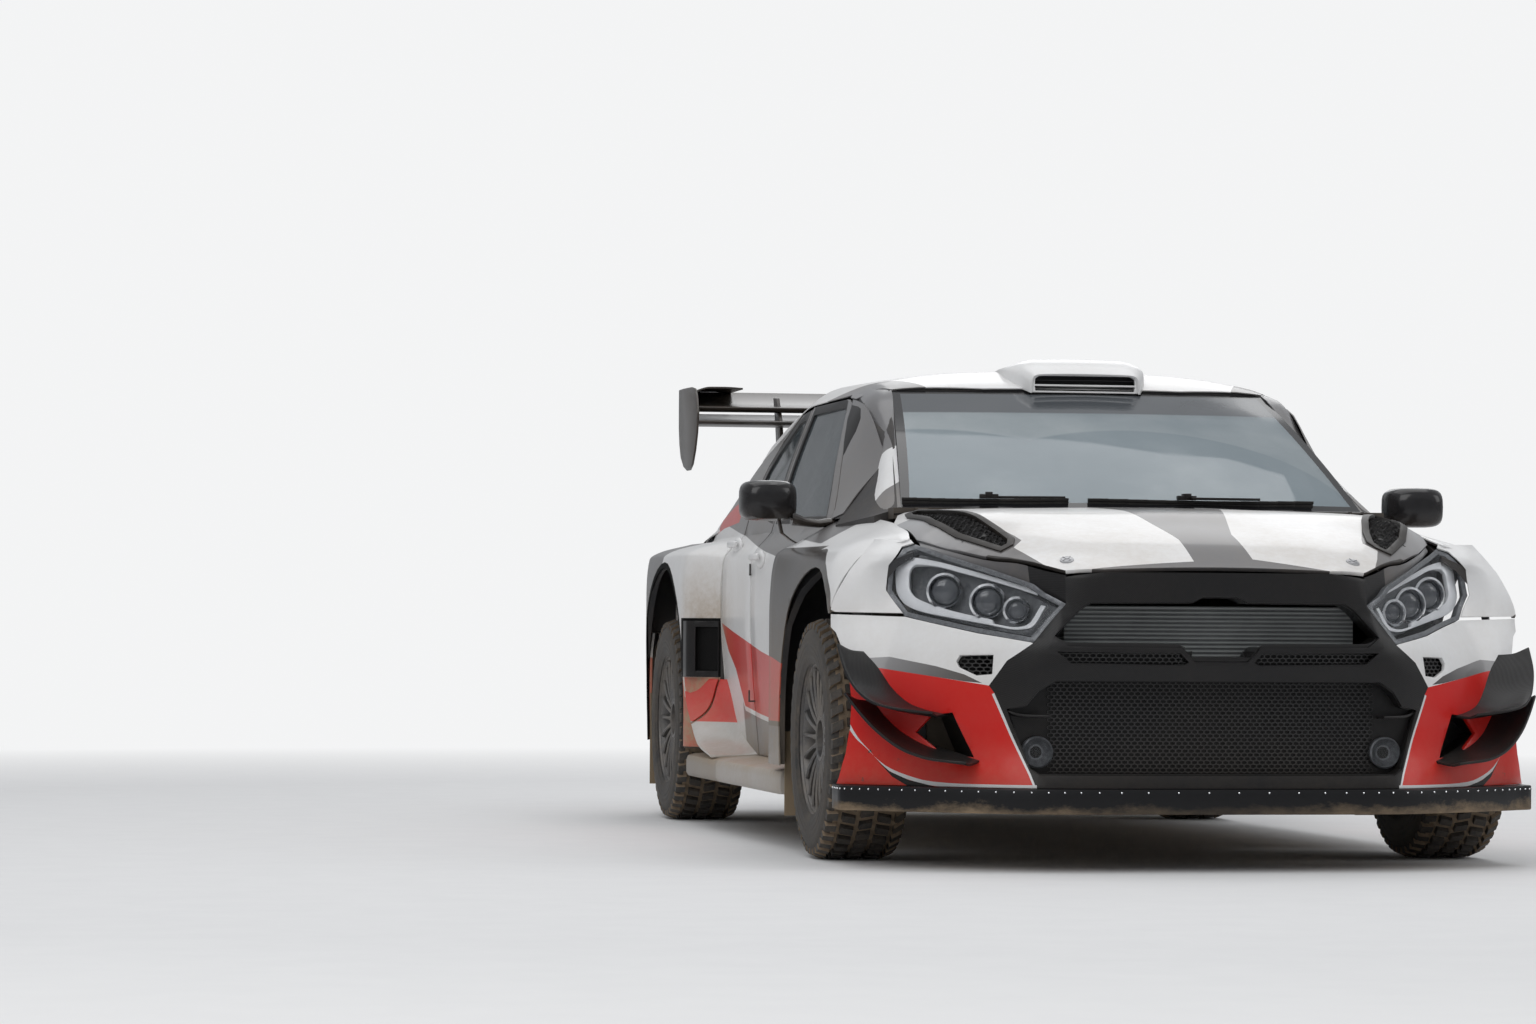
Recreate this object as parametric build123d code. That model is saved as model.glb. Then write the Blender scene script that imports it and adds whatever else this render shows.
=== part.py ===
from build123d import *
import os
from math import atan2, cos, radians, sin

os.makedirs("parts", exist_ok=True)

# Rally car, millimetres. The nose points to -Y, +X is the car's left, +Z is up, z = 0 is the ground.

# Wheels and axles
WHEELBASE = 2570.0
FRONT_AXLE_Y = -1260.0
REAR_AXLE_Y = FRONT_AXLE_Y + WHEELBASE
TRACK = 1640.0
TYRE_RADIUS = 322.0
TYRE_WIDTH = 225.0
TYRE_WALL = 13.0
RIM_WIDTH = 204.0
RIM_FLANGE_RADIUS = 215.0
RIM_SEAT_DROP = 12.0
RIM_WALL = 6.0
SPOKE_COUNT = 24
HUB_RADIUS = 62.0
DISC_RADIUS = 160.0
DISC_THICKNESS = 24.0
SEAT_GAP = 0.3
WHEEL_X = TRACK / 2
AXLE_Z = TYRE_RADIUS

# Body sizes
BODY_WIDTH = 1875.0
HALF = BODY_WIDTH / 2
DOOR_THICKNESS = 60.0
FRAME_THICKNESS = 24.0
ROOF_THICKNESS = 24.0
SKIN = 16.0
BUMPER_WALL = 20.0
LAMP_DEPTH = 70.0
SHUT_GAP = 6.0
DOOR_REAR_GAP = 8.0
DOOR_TOP_GAP = 12.0
ARCH_RADIUS = TYRE_RADIUS + 98.0
FRONT_ARCH_RISE = 38.0
REAR_ARCH_RISE = 63.0
FLOOR_Z = 150.0
FLOOR_THICKNESS = 22.0
SILL_TOP_Z = 236.0
SKIRT_BOTTOM_Z = 152.0
BELT_Z = 925.0
GLASS_THICKNESS = 5.0
GLASS_INSET = 5.0
GLASS_CLEARANCE = 0.3

# Lines along the car, measured rearward of the front axle (F) or of the rear axle (R)
DOOR_FRONT_F = 600.0
B_PILLAR_F = 1495.0
DOOR_REAR_R = -565.0
REAR_DOOR_EDGE_R = DOOR_REAR_R - 6.0
FLARE_REAR_END_F = 575.0
BONNET_HINGE_F = 56.0
BONNET_HINGE_Z = 942.0
TAILGATE_HINGE_R = -185.0
TAILGATE_HINGE_Z = 1266.0

# Steering
KINGPIN_LOW = (740.0, 200.0)
KINGPIN_HIGH = (620.0, 800.0)


def front(s):
    return FRONT_AXLE_Y + s


def rear(r):
    return REAR_AXLE_Y + r


def face(points):
    return Face(Wire.make_polygon([Vector(*p) for p in points], close=True))


def prism_x(outline, x0, x1):
    return Solid.extrude(face([(x0, y, z) for y, z in outline]), Vector(x1 - x0, 0, 0))


def prism_y(outline, y0, y1):
    return Solid.extrude(face([(x, y0, z) for x, z in outline]), Vector(0, y1 - y0, 0))


def prism_z(outline, z0, z1):
    return Solid.extrude(face([(x, y, z0) for x, y in outline]), Vector(0, 0, z1 - z0))


def box(x0, x1, y0, y1, z0, z1):
    return prism_z([(x0, y0), (x1, y0), (x1, y1), (x0, y1)], z0, z1)


def loft_through(sections):
    wires = [Wire.make_polygon([Vector(*p) for p in s], close=True) for s in sections]
    return Solid.make_loft(wires, True).fix()


def rod(start, end, radius):
    start = Vector(*start)
    end = Vector(*end)
    along = end - start
    plane = Plane(origin=start, z_dir=along.normalized())
    return plane * Pos(0, 0, along.length / 2) * Cylinder(radius, along.length)


def disc_x(x0, x1, y, z, radius):
    return Pos((x0 + x1) / 2, y, z) * Rot(0, 90, 0) * Cylinder(radius, x1 - x0)


def mirrored(shape):
    return mirror(shape, about=Plane.YZ)


def union(shapes):
    total = shapes[0]
    for shape in shapes[1:]:
        total = total + shape
    return total


def save(name, *shapes):
    solids = []
    for shape in shapes:
        solids += list(shape.solids())
    result = solids[0] if len(solids) == 1 else Compound(children=solids)
    export_step(result, f"parts/{name}.step")


# The side of the body. Each row is a station; insets are measured in from half the width.
Z_LEVELS = (172.0, 450.0, 660.0, 820.0, 905.0)
# station, inset at each level, glass top x and z, roof shoulder x and z
SIDE = [
    (front(480), (142, 120, 108, 116, 166), (624, 1090), (606, 1124)),
    (front(800), (137, 112, 103, 108, 162), (630, 1262), (556, 1302)),
    (front(1010), (137, 112, 100, 105, 162), (636, 1284), (542, 1334)),
    (front(1495), (137, 112, 100, 104, 164), (646, 1282), (560, 1343)),
    (rear(-560), (137, 112, 98, 102, 170), (642, 1212), (584, 1284)),
    (rear(-170), (137, 108, 92, 104, 190), (646, 1142), (600, 1208)),
    (rear(330), (157, 118, 98, 120, 222), (664, 1000), (606, 1064)),
    (rear(600), (197, 158, 148, 176, 270), (642, 940), (600, 990)),
]


def side_wall(offset, thick, top_offset=None, top_thick=None):
    top_offset = offset if top_offset is None else top_offset
    top_thick = thick if top_thick is None else top_thick
    sections = []
    for y, insets, glass_top, shoulder in SIDE:
        points = [(HALF - i, z) for i, z in zip(insets, Z_LEVELS)] + [glass_top, shoulder]
        outer = []
        inner = []
        for k, (x, z) in enumerate(points):
            near = offset if k < 4 else top_offset
            far = near + (thick if k < 4 else top_thick)
            outer.append((x - near, z))
            inner.append((x - far, z))
        sections.append([(x, y, z) for x, z in outer + inner[::-1]])
    return loft_through(sections)


# Roof skin: station, z at 300 mm from the centre, z at the centre
ROOF = [
    (1, 1328, 1338),
    (2, 1366, 1376),
    (3, 1372, 1381),
    (4, 1322, 1333),
]
roof_rows = [(front(715), (566, 1256), 1296, 1306)]
for side_row, mid_z, top_z in ROOF:
    y, insets, glass_top, shoulder = SIDE[side_row]
    roof_rows.append((y, shoulder, mid_z, top_z))
roof_rows.append((rear(TAILGATE_HINGE_R - SHUT_GAP), (600, 1211), 1250, 1262))
sections = []
for y, shoulder, mid_z, top_z in roof_rows:
    half = [(shoulder[0] + 1, shoulder[1]), (300, mid_z), (0, top_z), (-300, mid_z)]
    half += [(-shoulder[0] - 1, shoulder[1])]
    under = [(x, z - ROOF_THICKNESS) for x, z in half[::-1]]
    sections.append([(x, y, z) for x, z in half + under])
roof = loft_through(sections)
HEADER_CLEARANCE = 10.3
SCREEN_TOP = [(0, front(722)), (290, front(742)), (548, front(800))]
header_line = [(x, y + HEADER_CLEARANCE) for x, y in SCREEN_TOP] + [(700, front(860)), (700, front(600))]
roof = roof - prism_z([(-x, y) for x, y in header_line[:0:-1]] + header_line, 1100, 1500)

# Door and window outlines in the side view, as (y, z)
front_door_outline = [
    (front(DOOR_FRONT_F), SILL_TOP_Z),
    (front(B_PILLAR_F - DOOR_REAR_GAP), SILL_TOP_Z),
    (front(B_PILLAR_F - DOOR_REAR_GAP), 1284),
    (front(1010), 1288),
    (front(935), 1272),
    (front(DOOR_FRONT_F), BELT_Z + 22),
]
rear_door_outline = [
    (front(B_PILLAR_F + SHUT_GAP), SILL_TOP_Z),
    (rear(REAR_DOOR_EDGE_R), SILL_TOP_Z),
    (rear(REAR_DOOR_EDGE_R), 905),
    (rear(-506), 1010),
    (rear(-520), 1120),
    (rear(-620), 1190),
    (front(B_PILLAR_F + 165), 1268),
    (front(B_PILLAR_F + SHUT_GAP), 1276),
]
front_window = [
    (front(668), BELT_Z + 10),
    (front(B_PILLAR_F - 62), BELT_Z + 24),
    (front(B_PILLAR_F - 62), 1256),
    (front(1010), 1260),
    (front(958), 1248),
]
rear_window = [
    (front(B_PILLAR_F + 50), BELT_Z + 26),
    (rear(-610), BELT_Z + 70),
    (rear(-556), 1040),
    (rear(-580), 1105),
    (rear(-660), 1160),
    (front(B_PILLAR_F + 165), 1240),
    (front(B_PILLAR_F + 50), 1248),
]


def grown(outline, margin):
    outer = face([(0, y, z) for y, z in outline])
    wire = outer.outer_wire().offset_2d(margin, kind=Kind.INTERSECTION)
    return [(v.Y, v.Z) for v in ordered(wire)]


def ordered(wire):
    points = []
    for edge in wire.order_edges():
        points.append(edge.position_at(0))
    return points


DOOR_X = (480.0, HALF)
wall_door = side_wall(0, DOOR_THICKNESS, 0, FRAME_THICKNESS)
wall_glass = side_wall(GLASS_INSET, GLASS_THICKNESS)

front_door = wall_door & prism_x(front_door_outline, *DOOR_X)
front_door = front_door - prism_x(front_window, *DOOR_X)
front_door_glass = wall_glass & prism_x(grown(front_window, -GLASS_CLEARANCE), *DOOR_X)

rear_door = wall_door & prism_x(rear_door_outline, *DOOR_X)
rear_door = rear_door - prism_x(rear_window, *DOOR_X)
rear_door_glass = wall_glass & prism_x(grown(rear_window, -GLASS_CLEARANCE), *DOOR_X)

# Lower wedge on the rear door, which leads the air round the rear wheel
WEDGE_OUT_X = HALF - 8.0
wedge_outline = [
    (front(1600), SILL_TOP_Z),
    (rear(REAR_DOOR_EDGE_R), SILL_TOP_Z),
    (rear(REAR_DOOR_EDGE_R), 404),
    (rear(-700), 318),
    (front(1720), 262),
]
wedge = prism_x(wedge_outline, HALF - 130, WEDGE_OUT_X)
wedge = wedge & loft_through([
    [(HALF - 118, front(1590), 200), (HALF - 104, front(1590), 200),
     (HALF - 104, front(1590), 480), (HALF - 118, front(1590), 480)],
    [(HALF - 118, rear(DOOR_REAR_R), 200), (WEDGE_OUT_X, rear(DOOR_REAR_R), 200),
     (WEDGE_OUT_X - 30, rear(DOOR_REAR_R), 480), (HALF - 118, rear(DOOR_REAR_R), 480)],
])
rear_door = rear_door + wedge

# Body shell: the side wall round the doors, the rear quarters with their flares, and the roof
door_hole = prism_x(
    [
        (front(DOOR_FRONT_F - SHUT_GAP), SILL_TOP_Z - SHUT_GAP),
        (rear(DOOR_REAR_R) + SHUT_GAP, SILL_TOP_Z - SHUT_GAP),
        (rear(DOOR_REAR_R) + SHUT_GAP, 903),
        (rear(-500) + SHUT_GAP, 1008),
        (rear(-520) + SHUT_GAP, 1124),
        (rear(-620) + SHUT_GAP, 1190 + SHUT_GAP + 3),
        (front(B_PILLAR_F + 170), 1268 + DOOR_TOP_GAP),
        (front(B_PILLAR_F), 1276 + DOOR_TOP_GAP + 2),
        (front(1006), 1288 + DOOR_TOP_GAP / 2 + 2),
        (front(930), 1272 + DOOR_TOP_GAP / 2 + 2),
        (front(DOOR_FRONT_F - SHUT_GAP), BELT_Z + 26),
    ],
    400,
    HALF + 50,
)
quarter = wall_door - door_hole
quarter = quarter & prism_x(
    [
        (front(480), BELT_Z + 14),
        (front(1500), 800),
        (rear(-600), 240),
        (rear(540), 400),
        (rear(600), 700),
        (rear(600), 1500),
        (front(480), 1500),
    ],
    400,
    HALF + 50,
)

ARCH_FRONT_Z = AXLE_Z + FRONT_ARCH_RISE
ARCH_REAR_Z = AXLE_Z + REAR_ARCH_RISE


def arch_cut(y, z, radius, x0, x1):
    cut = disc_x(x0, x1, y, z, radius)
    return cut + box(x0, x1, y - radius, y + radius, -20, z)


FLARE_IN = HALF - 150.0
# station, outer inset, top z
REAR_FLARE = [
    (rear(-558), 98, 850),
    (rear(-430), 0, 857),
    (rear(330), 0, 857),
    (rear(470), 28, 850),
    (rear(575), 120, 836),
]
sections = []
for y, inset, top_z in REAR_FLARE:
    x = HALF - inset
    sections.append([
        (FLARE_IN, y, 240), (x - 6, y, 240), (x, y, 420), (x, y, top_z - 130),
        (x - 14, y, top_z - 14), (x - 28, y, top_z), (FLARE_IN, y, top_z + 30),
    ])
rear_flare = loft_through(sections)
flare_hollow = box(FLARE_IN - 60, HALF - SKIN, rear(-400), rear(470), 200, 830)
quarter = quarter + (rear_flare - flare_hollow)
quarter = quarter - arch_cut(REAR_AXLE_Y, ARCH_REAR_Z, ARCH_RADIUS, 400, HALF + 50)
quarter = quarter - box(400, HALF + 50, rear(400), rear(700), 100, 600)
DUCT = (rear(-600), rear(-500), 462, 630)
quarter = quarter - box(HALF - 76, HALF - 14, *DUCT)

# Pillar between the doors, inside them
pillar_wall = side_wall(
    DOOR_THICKNESS + SHUT_GAP, 40, FRAME_THICKNESS + SHUT_GAP, 34
)
pillar = pillar_wall & box(400, HALF, front(B_PILLAR_F - 45), front(B_PILLAR_F + 55), 172, 1400)
sill = side_wall(DOOR_THICKNESS + SHUT_GAP, 40)
sill = sill & box(400, HALF, front(480), rear(-450), 172, 330)
A_FOOT = prism_x(
    [(front(480), 172), (front(590), 172), (front(590), 945), (front(480), 945)], 400, HALF
)
a_post = pillar_wall & A_FOOT
rail_wall = side_wall(0, 60, FRAME_THICKNESS + SHUT_GAP, 34)
rail = rail_wall & prism_x(
    [
        (front(790), 1262), (front(1010), 1262), (front(1495), 1255), (rear(-660), 1196),
        (rear(-500), 1100), (rear(-400), 1100), (rear(-400), 1400), (front(790), 1400),
    ],
    400,
    HALF,
)
rail = rail - box(600, HALF, front(500), front(800), 800, 1500)
left_side = union([quarter, pillar, sill, a_post, rail])
shell = union([roof, left_side, mirrored(left_side)])

# Header bar over the windscreen and the two screen posts
SCREEN_BASE = [(0, front(20)), (330, front(52)), (652, front(146))]
SCREEN_BASE_Z = 946.0
SCREEN_TOP_Z = 1300.0


def screen_sheet(depth0, depth1):
    sections = []
    for line, z in ((SCREEN_BASE, SCREEN_BASE_Z), (SCREEN_TOP, SCREEN_TOP_Z)):
        left = line[:0:-1]
        full = left + line[:1] + [(-x, y) for x, y in line[1:]]
        outer = [(x, y + depth0, z) for x, y in full]
        inner = [(x, y + depth1, z) for x, y in full[::-1]]
        sections.append(outer + inner)
    return loft_through(sections)


windscreen = screen_sheet(0, 9)

# Front corner posts between the screen and the doors
post = side_wall(0, 40, 0, 40) & prism_x(
    [
        (front(480), BELT_Z), (front(592), BELT_Z), (front(592), BELT_Z + 30),
        (front(925), 1284), (front(840), 1290), (front(800), 1290), (front(480), 1080),
    ],
    400,
    HALF,
)
screen_corner = loft_through([
    [(662, front(150), 900), (728, front(140), 900), (728, front(140), 925), (662, front(150), 945)],
    [(614, front(480), 900), (770, front(480), 900), (771, front(480), 906), (610, front(480), 1118)],
])
left_post = screen_corner + post
shell = union([shell, left_post, mirrored(left_post)]) - screen_sheet(-400, 9.3)

# Cowl, bulkhead, wheel houses and spring towers
COWL_TOP_Z = 945.7
cowl_outline = [
    (0, front(2)), (330, front(20)), (560, front(BONNET_HINGE_F + 9)), (690, front(BONNET_HINGE_F + 9)),
    (690, front(138)), (652, front(140)), (330, front(164)),
]
cowl_outline += [(-x, y) for x, y in cowl_outline[:0:-1]]
cowl = prism_z(cowl_outline, COWL_TOP_Z - 30, COWL_TOP_Z)
HOUSE_IN = 530.0
HOUSE_WALL = 8.0
bulkhead = box(-652, 652, front(150), front(164), FLOOR_Z + FLOOR_THICKNESS, COWL_TOP_Z)
wheel_room = arch_cut(FRONT_AXLE_Y, ARCH_FRONT_Z, ARCH_RADIUS + 1, HOUSE_IN + 1, HALF)
bulkhead = bulkhead - wheel_room - mirrored(wheel_room)
HOUSE_OUT = 700.0


def wheel_house(y, z, x_in, x_out, low_z):
    outer = arch_cut(y, z, ARCH_RADIUS + HOUSE_WALL, x_in, x_out)
    inner = arch_cut(y, z, ARCH_RADIUS, x_in + HOUSE_WALL, x_out + 1)
    return (outer - inner) & box(x_in, x_out, y - 500, y + 500, low_z, 900)


front_house = wheel_house(FRONT_AXLE_Y, ARCH_FRONT_Z, HOUSE_IN, HOUSE_OUT, FLOOR_Z + FLOOR_THICKNESS)
rear_house = wheel_house(REAR_AXLE_Y, ARCH_REAR_Z, 620, 780, FLOOR_Z + FLOOR_THICKNESS)
lean = atan2(KINGPIN_LOW[0] - KINGPIN_HIGH[0], KINGPIN_HIGH[1] - KINGPIN_LOW[1])


def kingpin_x(z):
    share = (z - KINGPIN_LOW[1]) / (KINGPIN_HIGH[1] - KINGPIN_LOW[1])
    return KINGPIN_LOW[0] + share * (KINGPIN_HIGH[0] - KINGPIN_LOW[0])


STRUT_TOP_Z = 792.0
STRUT_RADIUS = 26.0
SPRING_RADIUS = 30.0
TOWER_THICKNESS = 24.0
kingpin_frame = Plane(
    origin=(kingpin_x(STRUT_TOP_Z), FRONT_AXLE_Y, STRUT_TOP_Z),
    x_dir=(cos(lean), 0, sin(lean)),
    z_dir=(-sin(lean), 0, cos(lean)),
)
tower = kingpin_frame * Pos(0, 0, SEAT_GAP + TOWER_THICKNESS / 2) * Box(170, 190, TOWER_THICKNESS)
house_hole = kingpin_frame * Pos(0, 0, -59) * Cylinder(SPRING_RADIUS + 22, 120)
front_house = front_house - house_hole - box(
    HOUSE_IN - 5, HOUSE_IN + HOUSE_WALL + 5, front(-112), front(112), 160, 380
)
tower_wall = box(HOUSE_IN - 30, HOUSE_IN + 16, front(-95), front(95), 640, 800)
tower = tower + tower_wall
rear_house = rear_house - box(600, 660, rear(-70), rear(70), 160, 830)
side_link = box(HOUSE_IN - 30, HOUSE_IN, front(90), front(152), 640, 800)
front_left = union([front_house, tower, side_link])
cell_front = union([cowl, bulkhead, front_left, mirrored(front_left)])
rear_panel = box(-640, 640, rear(420), rear(436), 300, 900)
cell_rear = union([rear_panel, rear_house, mirrored(rear_house)])

# Floor
FLOOR_EDGE = HALF - 137.0 - DOOR_THICKNESS - SHUT_GAP - 2
floor_outline = [
    (HOUSE_IN + HOUSE_WALL, front(-351.7)), (HOUSE_IN + HOUSE_WALL, front(445)), (FLOOR_EDGE, front(470)),
    (FLOOR_EDGE, rear(-450)), (636, rear(-440)), (636, rear(560)),
]
floor_outline += [(-x, y) for x, y in floor_outline[::-1]]
floor = prism_z(floor_outline, FLOOR_Z, FLOOR_Z + FLOOR_THICKNESS)

# Front wings. Each row: station, then points up the outside as (inset, z)
WING_IN = 708.0
WING = [
    (front(-350), [(96, 240), (84, 440), (78, 600), (96, 700), (128, 760), (160, 796)], (722, 818)),
    (front(-200), [(12, 240), (4, 440), (8, 600), (40, 720), (80, 790), (122, 824)], (706, 868)),
    (front(0), [(0, 240), (0, 440), (4, 610), (26, 720), (66, 798), (112, 836)], (706, 900)),
    (front(300), [(0, 240), (0, 440), (2, 620), (20, 724), (58, 802), (104, 842)], (712, 918)),
    (front(FLARE_REAR_END_F), [(0, 240), (0, 440), (0, 640), (16, 735), (52, 806), (98, 844)], (742, 921)),
]


def wing_loft(inset):
    sections = []
    for y, outline, top in WING:
        pts = [(HALF - i - inset, z - (inset if k > 2 else 0)) for k, (i, z) in enumerate(outline)]
        pts.append((top[0], top[1] - inset))
        pts.append((top[0] - 1, 230 if inset else 240))
        pts[0] = (pts[0][0], 230 if inset else 240)
        sections.append([(x, y, z) for x, z in pts])
    return loft_through(sections)


wing = wing_loft(0) - wing_loft(SKIN)
wing = wing - box(600, HALF + 10, front(-500), front(-100), 0, 650)
wing = wing - arch_cut(FRONT_AXLE_Y, ARCH_FRONT_Z, ARCH_RADIUS, 600, HALF + 50)
back_plate = wing_loft(0) & box(600, HALF, front(FLARE_REAR_END_F - SKIN), front(FLARE_REAR_END_F), 245, 860)
wing = wing + back_plate
wing = wing - shell

# Nose: one outline that bumper and lamps share. Each row: z, then points from the centre out as (x, f)
NOSE = [
    (214.3, [(0, -772), (300, -768), (475, -745), (620, -660), (750, -550), (860, -430), (905, -345)]),
    (360, [(0, -742), (300, -737), (470, -712), (620, -630), (760, -530), (875, -425), (925, -345)]),
    (490, [(0, -757), (300, -752), (470, -722), (600, -640), (740, -520), (855, -420), (925, -345)]),
    (560, [(0, -762), (300, -757), (450, -727), (580, -640), (720, -500), (840, -400), (915, -345)]),
    (655, [(0, -747), (300, -738), (410, -717), (560, -600), (680, -462), (790, -366), (862, -335)]),
    (850, [(0, -725), (300, -700), (396, -680), (530, -540), (650, -390), (735, -300), (790, -270)]),
]


def nose_shell(wall):
    sections = []
    for z, outline in NOSE:
        outer = [(x, front(s)) for x, s in outline]
        inner = [(x, y + wall) for x, y in outer[:3]]
        inner += [(x - 0.7 * wall, y + 0.7 * wall) for x, y in outer[3:6]]
        inner += [(outer[6][0] - wall, outer[6][1])]
        full = [(-x, y) for x, y in outer[:0:-1]] + outer
        full += inner[::-1] + [(-x, y) for x, y in inner[1:]]
        sections.append([(x, y, z) for x, y in full])
    return loft_through(sections)


LAMP = [(400, 680), (482, 592), (748, 652), (790, 716), (778, 780), (716, 836), (580, 780), (472, 733)]
lamp_room = [(392, 682), (479, 584), (752, 645), (940, 649.7), (940, 214.3)]
bumper_outline = lamp_room[:4] + [lamp_room[4]]
bumper_outline = [(0, 738), (300, 729), (384, 702)] + bumper_outline
bumper_outline += [(-x, z) for x, z in bumper_outline[:0:-1]]
upper_grille = [(330, 690), (425, 606), (392, 578)]
upper_grille += [(-x, z) for x, z in upper_grille[::-1]]
lower_grille = [(436, 486), (452, 400), (438, 254)]
lower_grille += [(-x, z) for x, z in lower_grille[::-1]]
side_duct = [(520, 430), (690, 440), (735, 370), (640, 296), (530, 296)]
bumper = nose_shell(BUMPER_WALL) & prism_y(bumper_outline, front(-800), front(-200))
bumper = bumper - prism_y(upper_grille, front(-800), front(-600))
bumper = bumper - prism_y(lower_grille, front(-800), front(-600))
duct_cut = prism_y(side_duct, front(-800), front(-400))
bumper = bumper - duct_cut - mirrored(duct_cut)
arch = arch_cut(FRONT_AXLE_Y, ARCH_FRONT_Z, ARCH_RADIUS, 500, HALF + 50)
bumper = bumper - arch - mirrored(arch)
# Notched bar across the upper opening
bar_outline = [(392, 578), (392, 592), (70, 592), (40, 606), (-40, 606), (-70, 592), (-392, 592), (-392, 578)]
lamp = nose_shell(LAMP_DEPTH) & prism_y(LAMP, front(-800), front(-200))

# Bonnet. Each row: station, then half of the top line as (x, z)
BONNET = [
    (front(-742), [(0, 772), (300, 764), (450, 738), (740, 640)]),
    (front(-560), [(0, 846), (300, 842), (470, 818), (740, 690)]),
    (front(-400), [(0, 892), (300, 888), (540, 864), (740, 776)]),
    (front(-200), [(0, 938), (300, 935), (590, 925), (740, 864)]),
    (front(BONNET_HINGE_F), [(0, 954), (300, 950), (640, 937), (740, 893)]),
]
BONNET_PLAN = [
    (0, -736), (300, -722), (398, -700), (545, -535), (640, -400), (700, -290), (718, -60),
    (682, BONNET_HINGE_F - 10), (560, BONNET_HINGE_F - 14), (330, 4), (0, -12),
]
sections = []
for y, outline in BONNET:
    top = [(-x, z) for x, z in outline[:0:-1]] + outline
    under = [(x, z - ROOF_THICKNESS) for x, z in top[::-1]]
    sections.append([(x, y, z) for x, z in top + under])
plan = [(x, front(s)) for x, s in BONNET_PLAN]
plan += [(-x, y) for x, y in plan[-2:0:-1]]
bonnet = loft_through(sections) & prism_z(plan, 500, 1000)
room_sections = []
for y, outline in BONNET:
    top = [(-x, z + 200) for x, z in outline[:0:-1]] + [(x, z + 200) for x, z in outline]
    under = [(x, z - 200 - ROOF_THICKNESS - SHUT_GAP) for x, z in top[::-1]]
    room_sections.append([(x, y, z) for x, z in top + under])
room_plan = [(x * 1.012, y - SHUT_GAP if x < 560 and y < front(-300) else y) for x, y in plan]
bonnet_room = loft_through(room_sections) & prism_z(room_plan, 400, 1200)
lamp = lamp - wing - bonnet_room
bumper = bumper - bonnet_room
wing = wing - bonnet_room
VENT = [(500, -450), (530, -478), (566, -466), (622, -300), (676, -80), (568, -196)]
vent_cut = prism_z([(x, front(s)) for x, s in VENT], 600, 1000)
bonnet = bonnet - vent_cut - mirrored(vent_cut)
VENT_DROP = 10.0
sections = []
for y, outline in BONNET:
    top = [(-x, z - VENT_DROP) for x, z in outline[:0:-1]] + [(x, z - VENT_DROP) for x, z in outline]
    under = [(x, z - 4) for x, z in top[::-1]]
    sections.append([(x, y, z) for x, z in top + under])
vent_plate = loft_through(sections) & vent_cut
bonnet = union([bonnet, vent_plate, mirrored(vent_plate)])

# Splitter: a flat tray under the nose with its ends turned up
SPLITTER_BOTTOM_Z = 148.0
SPLITTER_TOP_Z = 214.0
SPLITTER_PLAN = [(0, -790), (300, -785), (475, -766), (640, -670), (780, -560), (880, -440), (908, -352)]
edge = [(x, front(s)) for x, s in SPLITTER_PLAN]
edge = [(-x, y) for x, y in edge[:0:-1]] + edge
tray = prism_z(edge, SPLITTER_BOTTOM_Z, SPLITTER_BOTTOM_Z + 14)
lip_in = [(x * 0.97, y + 16) for x, y in edge]
lip_in[0] = (lip_in[0][0], edge[0][1] + 1)
lip_in[-1] = (lip_in[-1][0], edge[-1][1] + 1)
lip = prism_z(edge, SPLITTER_BOTTOM_Z, SPLITTER_TOP_Z) - prism_z(lip_in, 0, 400)
tray = tray + (lip & box(-1000, 1000, front(-800), front(-353), 0, 300))
shelf = prism_z(edge, SPLITTER_TOP_Z - 6, SPLITTER_TOP_Z) - prism_z([(x * 0.88, y + 70) for x, y in edge], 0, 400)
tray = tray + (shelf & box(-1000, 1000, front(-800), front(-353), 0, 300))
splitter = tray - arch - mirrored(arch)

# Air deflectors on the bumper corners
upper_canard = loft_through([
    [(905, front(-352), 520), (905, front(-352), 534), (842, front(-405), 534), (842, front(-405), 520)],
    [(842, front(-475), 440), (842, front(-475), 450), (775, front(-526), 450), (775, front(-526), 440)],
    [(735, front(-588), 385), (735, front(-588), 393), (690, front(-602), 393), (690, front(-602), 385)],
])
lower_canard = loft_through([
    [(905, front(-352), 420), (905, front(-352), 432), (858, front(-398), 432), (858, front(-398), 420)],
    [(835, front(-492), 345), (835, front(-492), 355), (780, front(-522), 355), (780, front(-522), 345)],
    [(690, front(-628), 290), (690, front(-628), 298), (655, front(-618), 298), (655, front(-618), 290)],
])
canard_set = [upper_canard - bumper, lower_canard - bumper]

# Grille frame, mesh and the radiator behind it
mesh = box(-446, 446, front(-690), front(-684), 236, 500)
mesh_upper = box(-395, 395, front(-690), front(-684), 560, 700)
bar = prism_y(bar_outline, front(-742), front(-722))
bar_low = prism_y([(380, 560), (380, 572), (-380, 572), (-380, 560)], front(-722), front(-690))
duct = box(-456, 456, front(-770), front(-640.3), 232, 504) - box(-446, 446, front(-780), front(-600), 240, 496)
duct = (duct & nose_shell(220)) - bumper
grille = union([mesh, mesh_upper, box(-300, 300, front(-690), front(-684), 496, 562), duct])
RADIATOR = (-385, 385, front(-640), front(-560), 236, 680)
radiator = box(*RADIATOR)
tank = box(380, 415, front(-640), front(-555), 230, 580)
foot = box(-380, 380, front(-620), front(-580), SPLITTER_BOTTOM_Z + 14.3, 240)
radiator = union([radiator, tank, mirrored(tank), foot])

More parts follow.
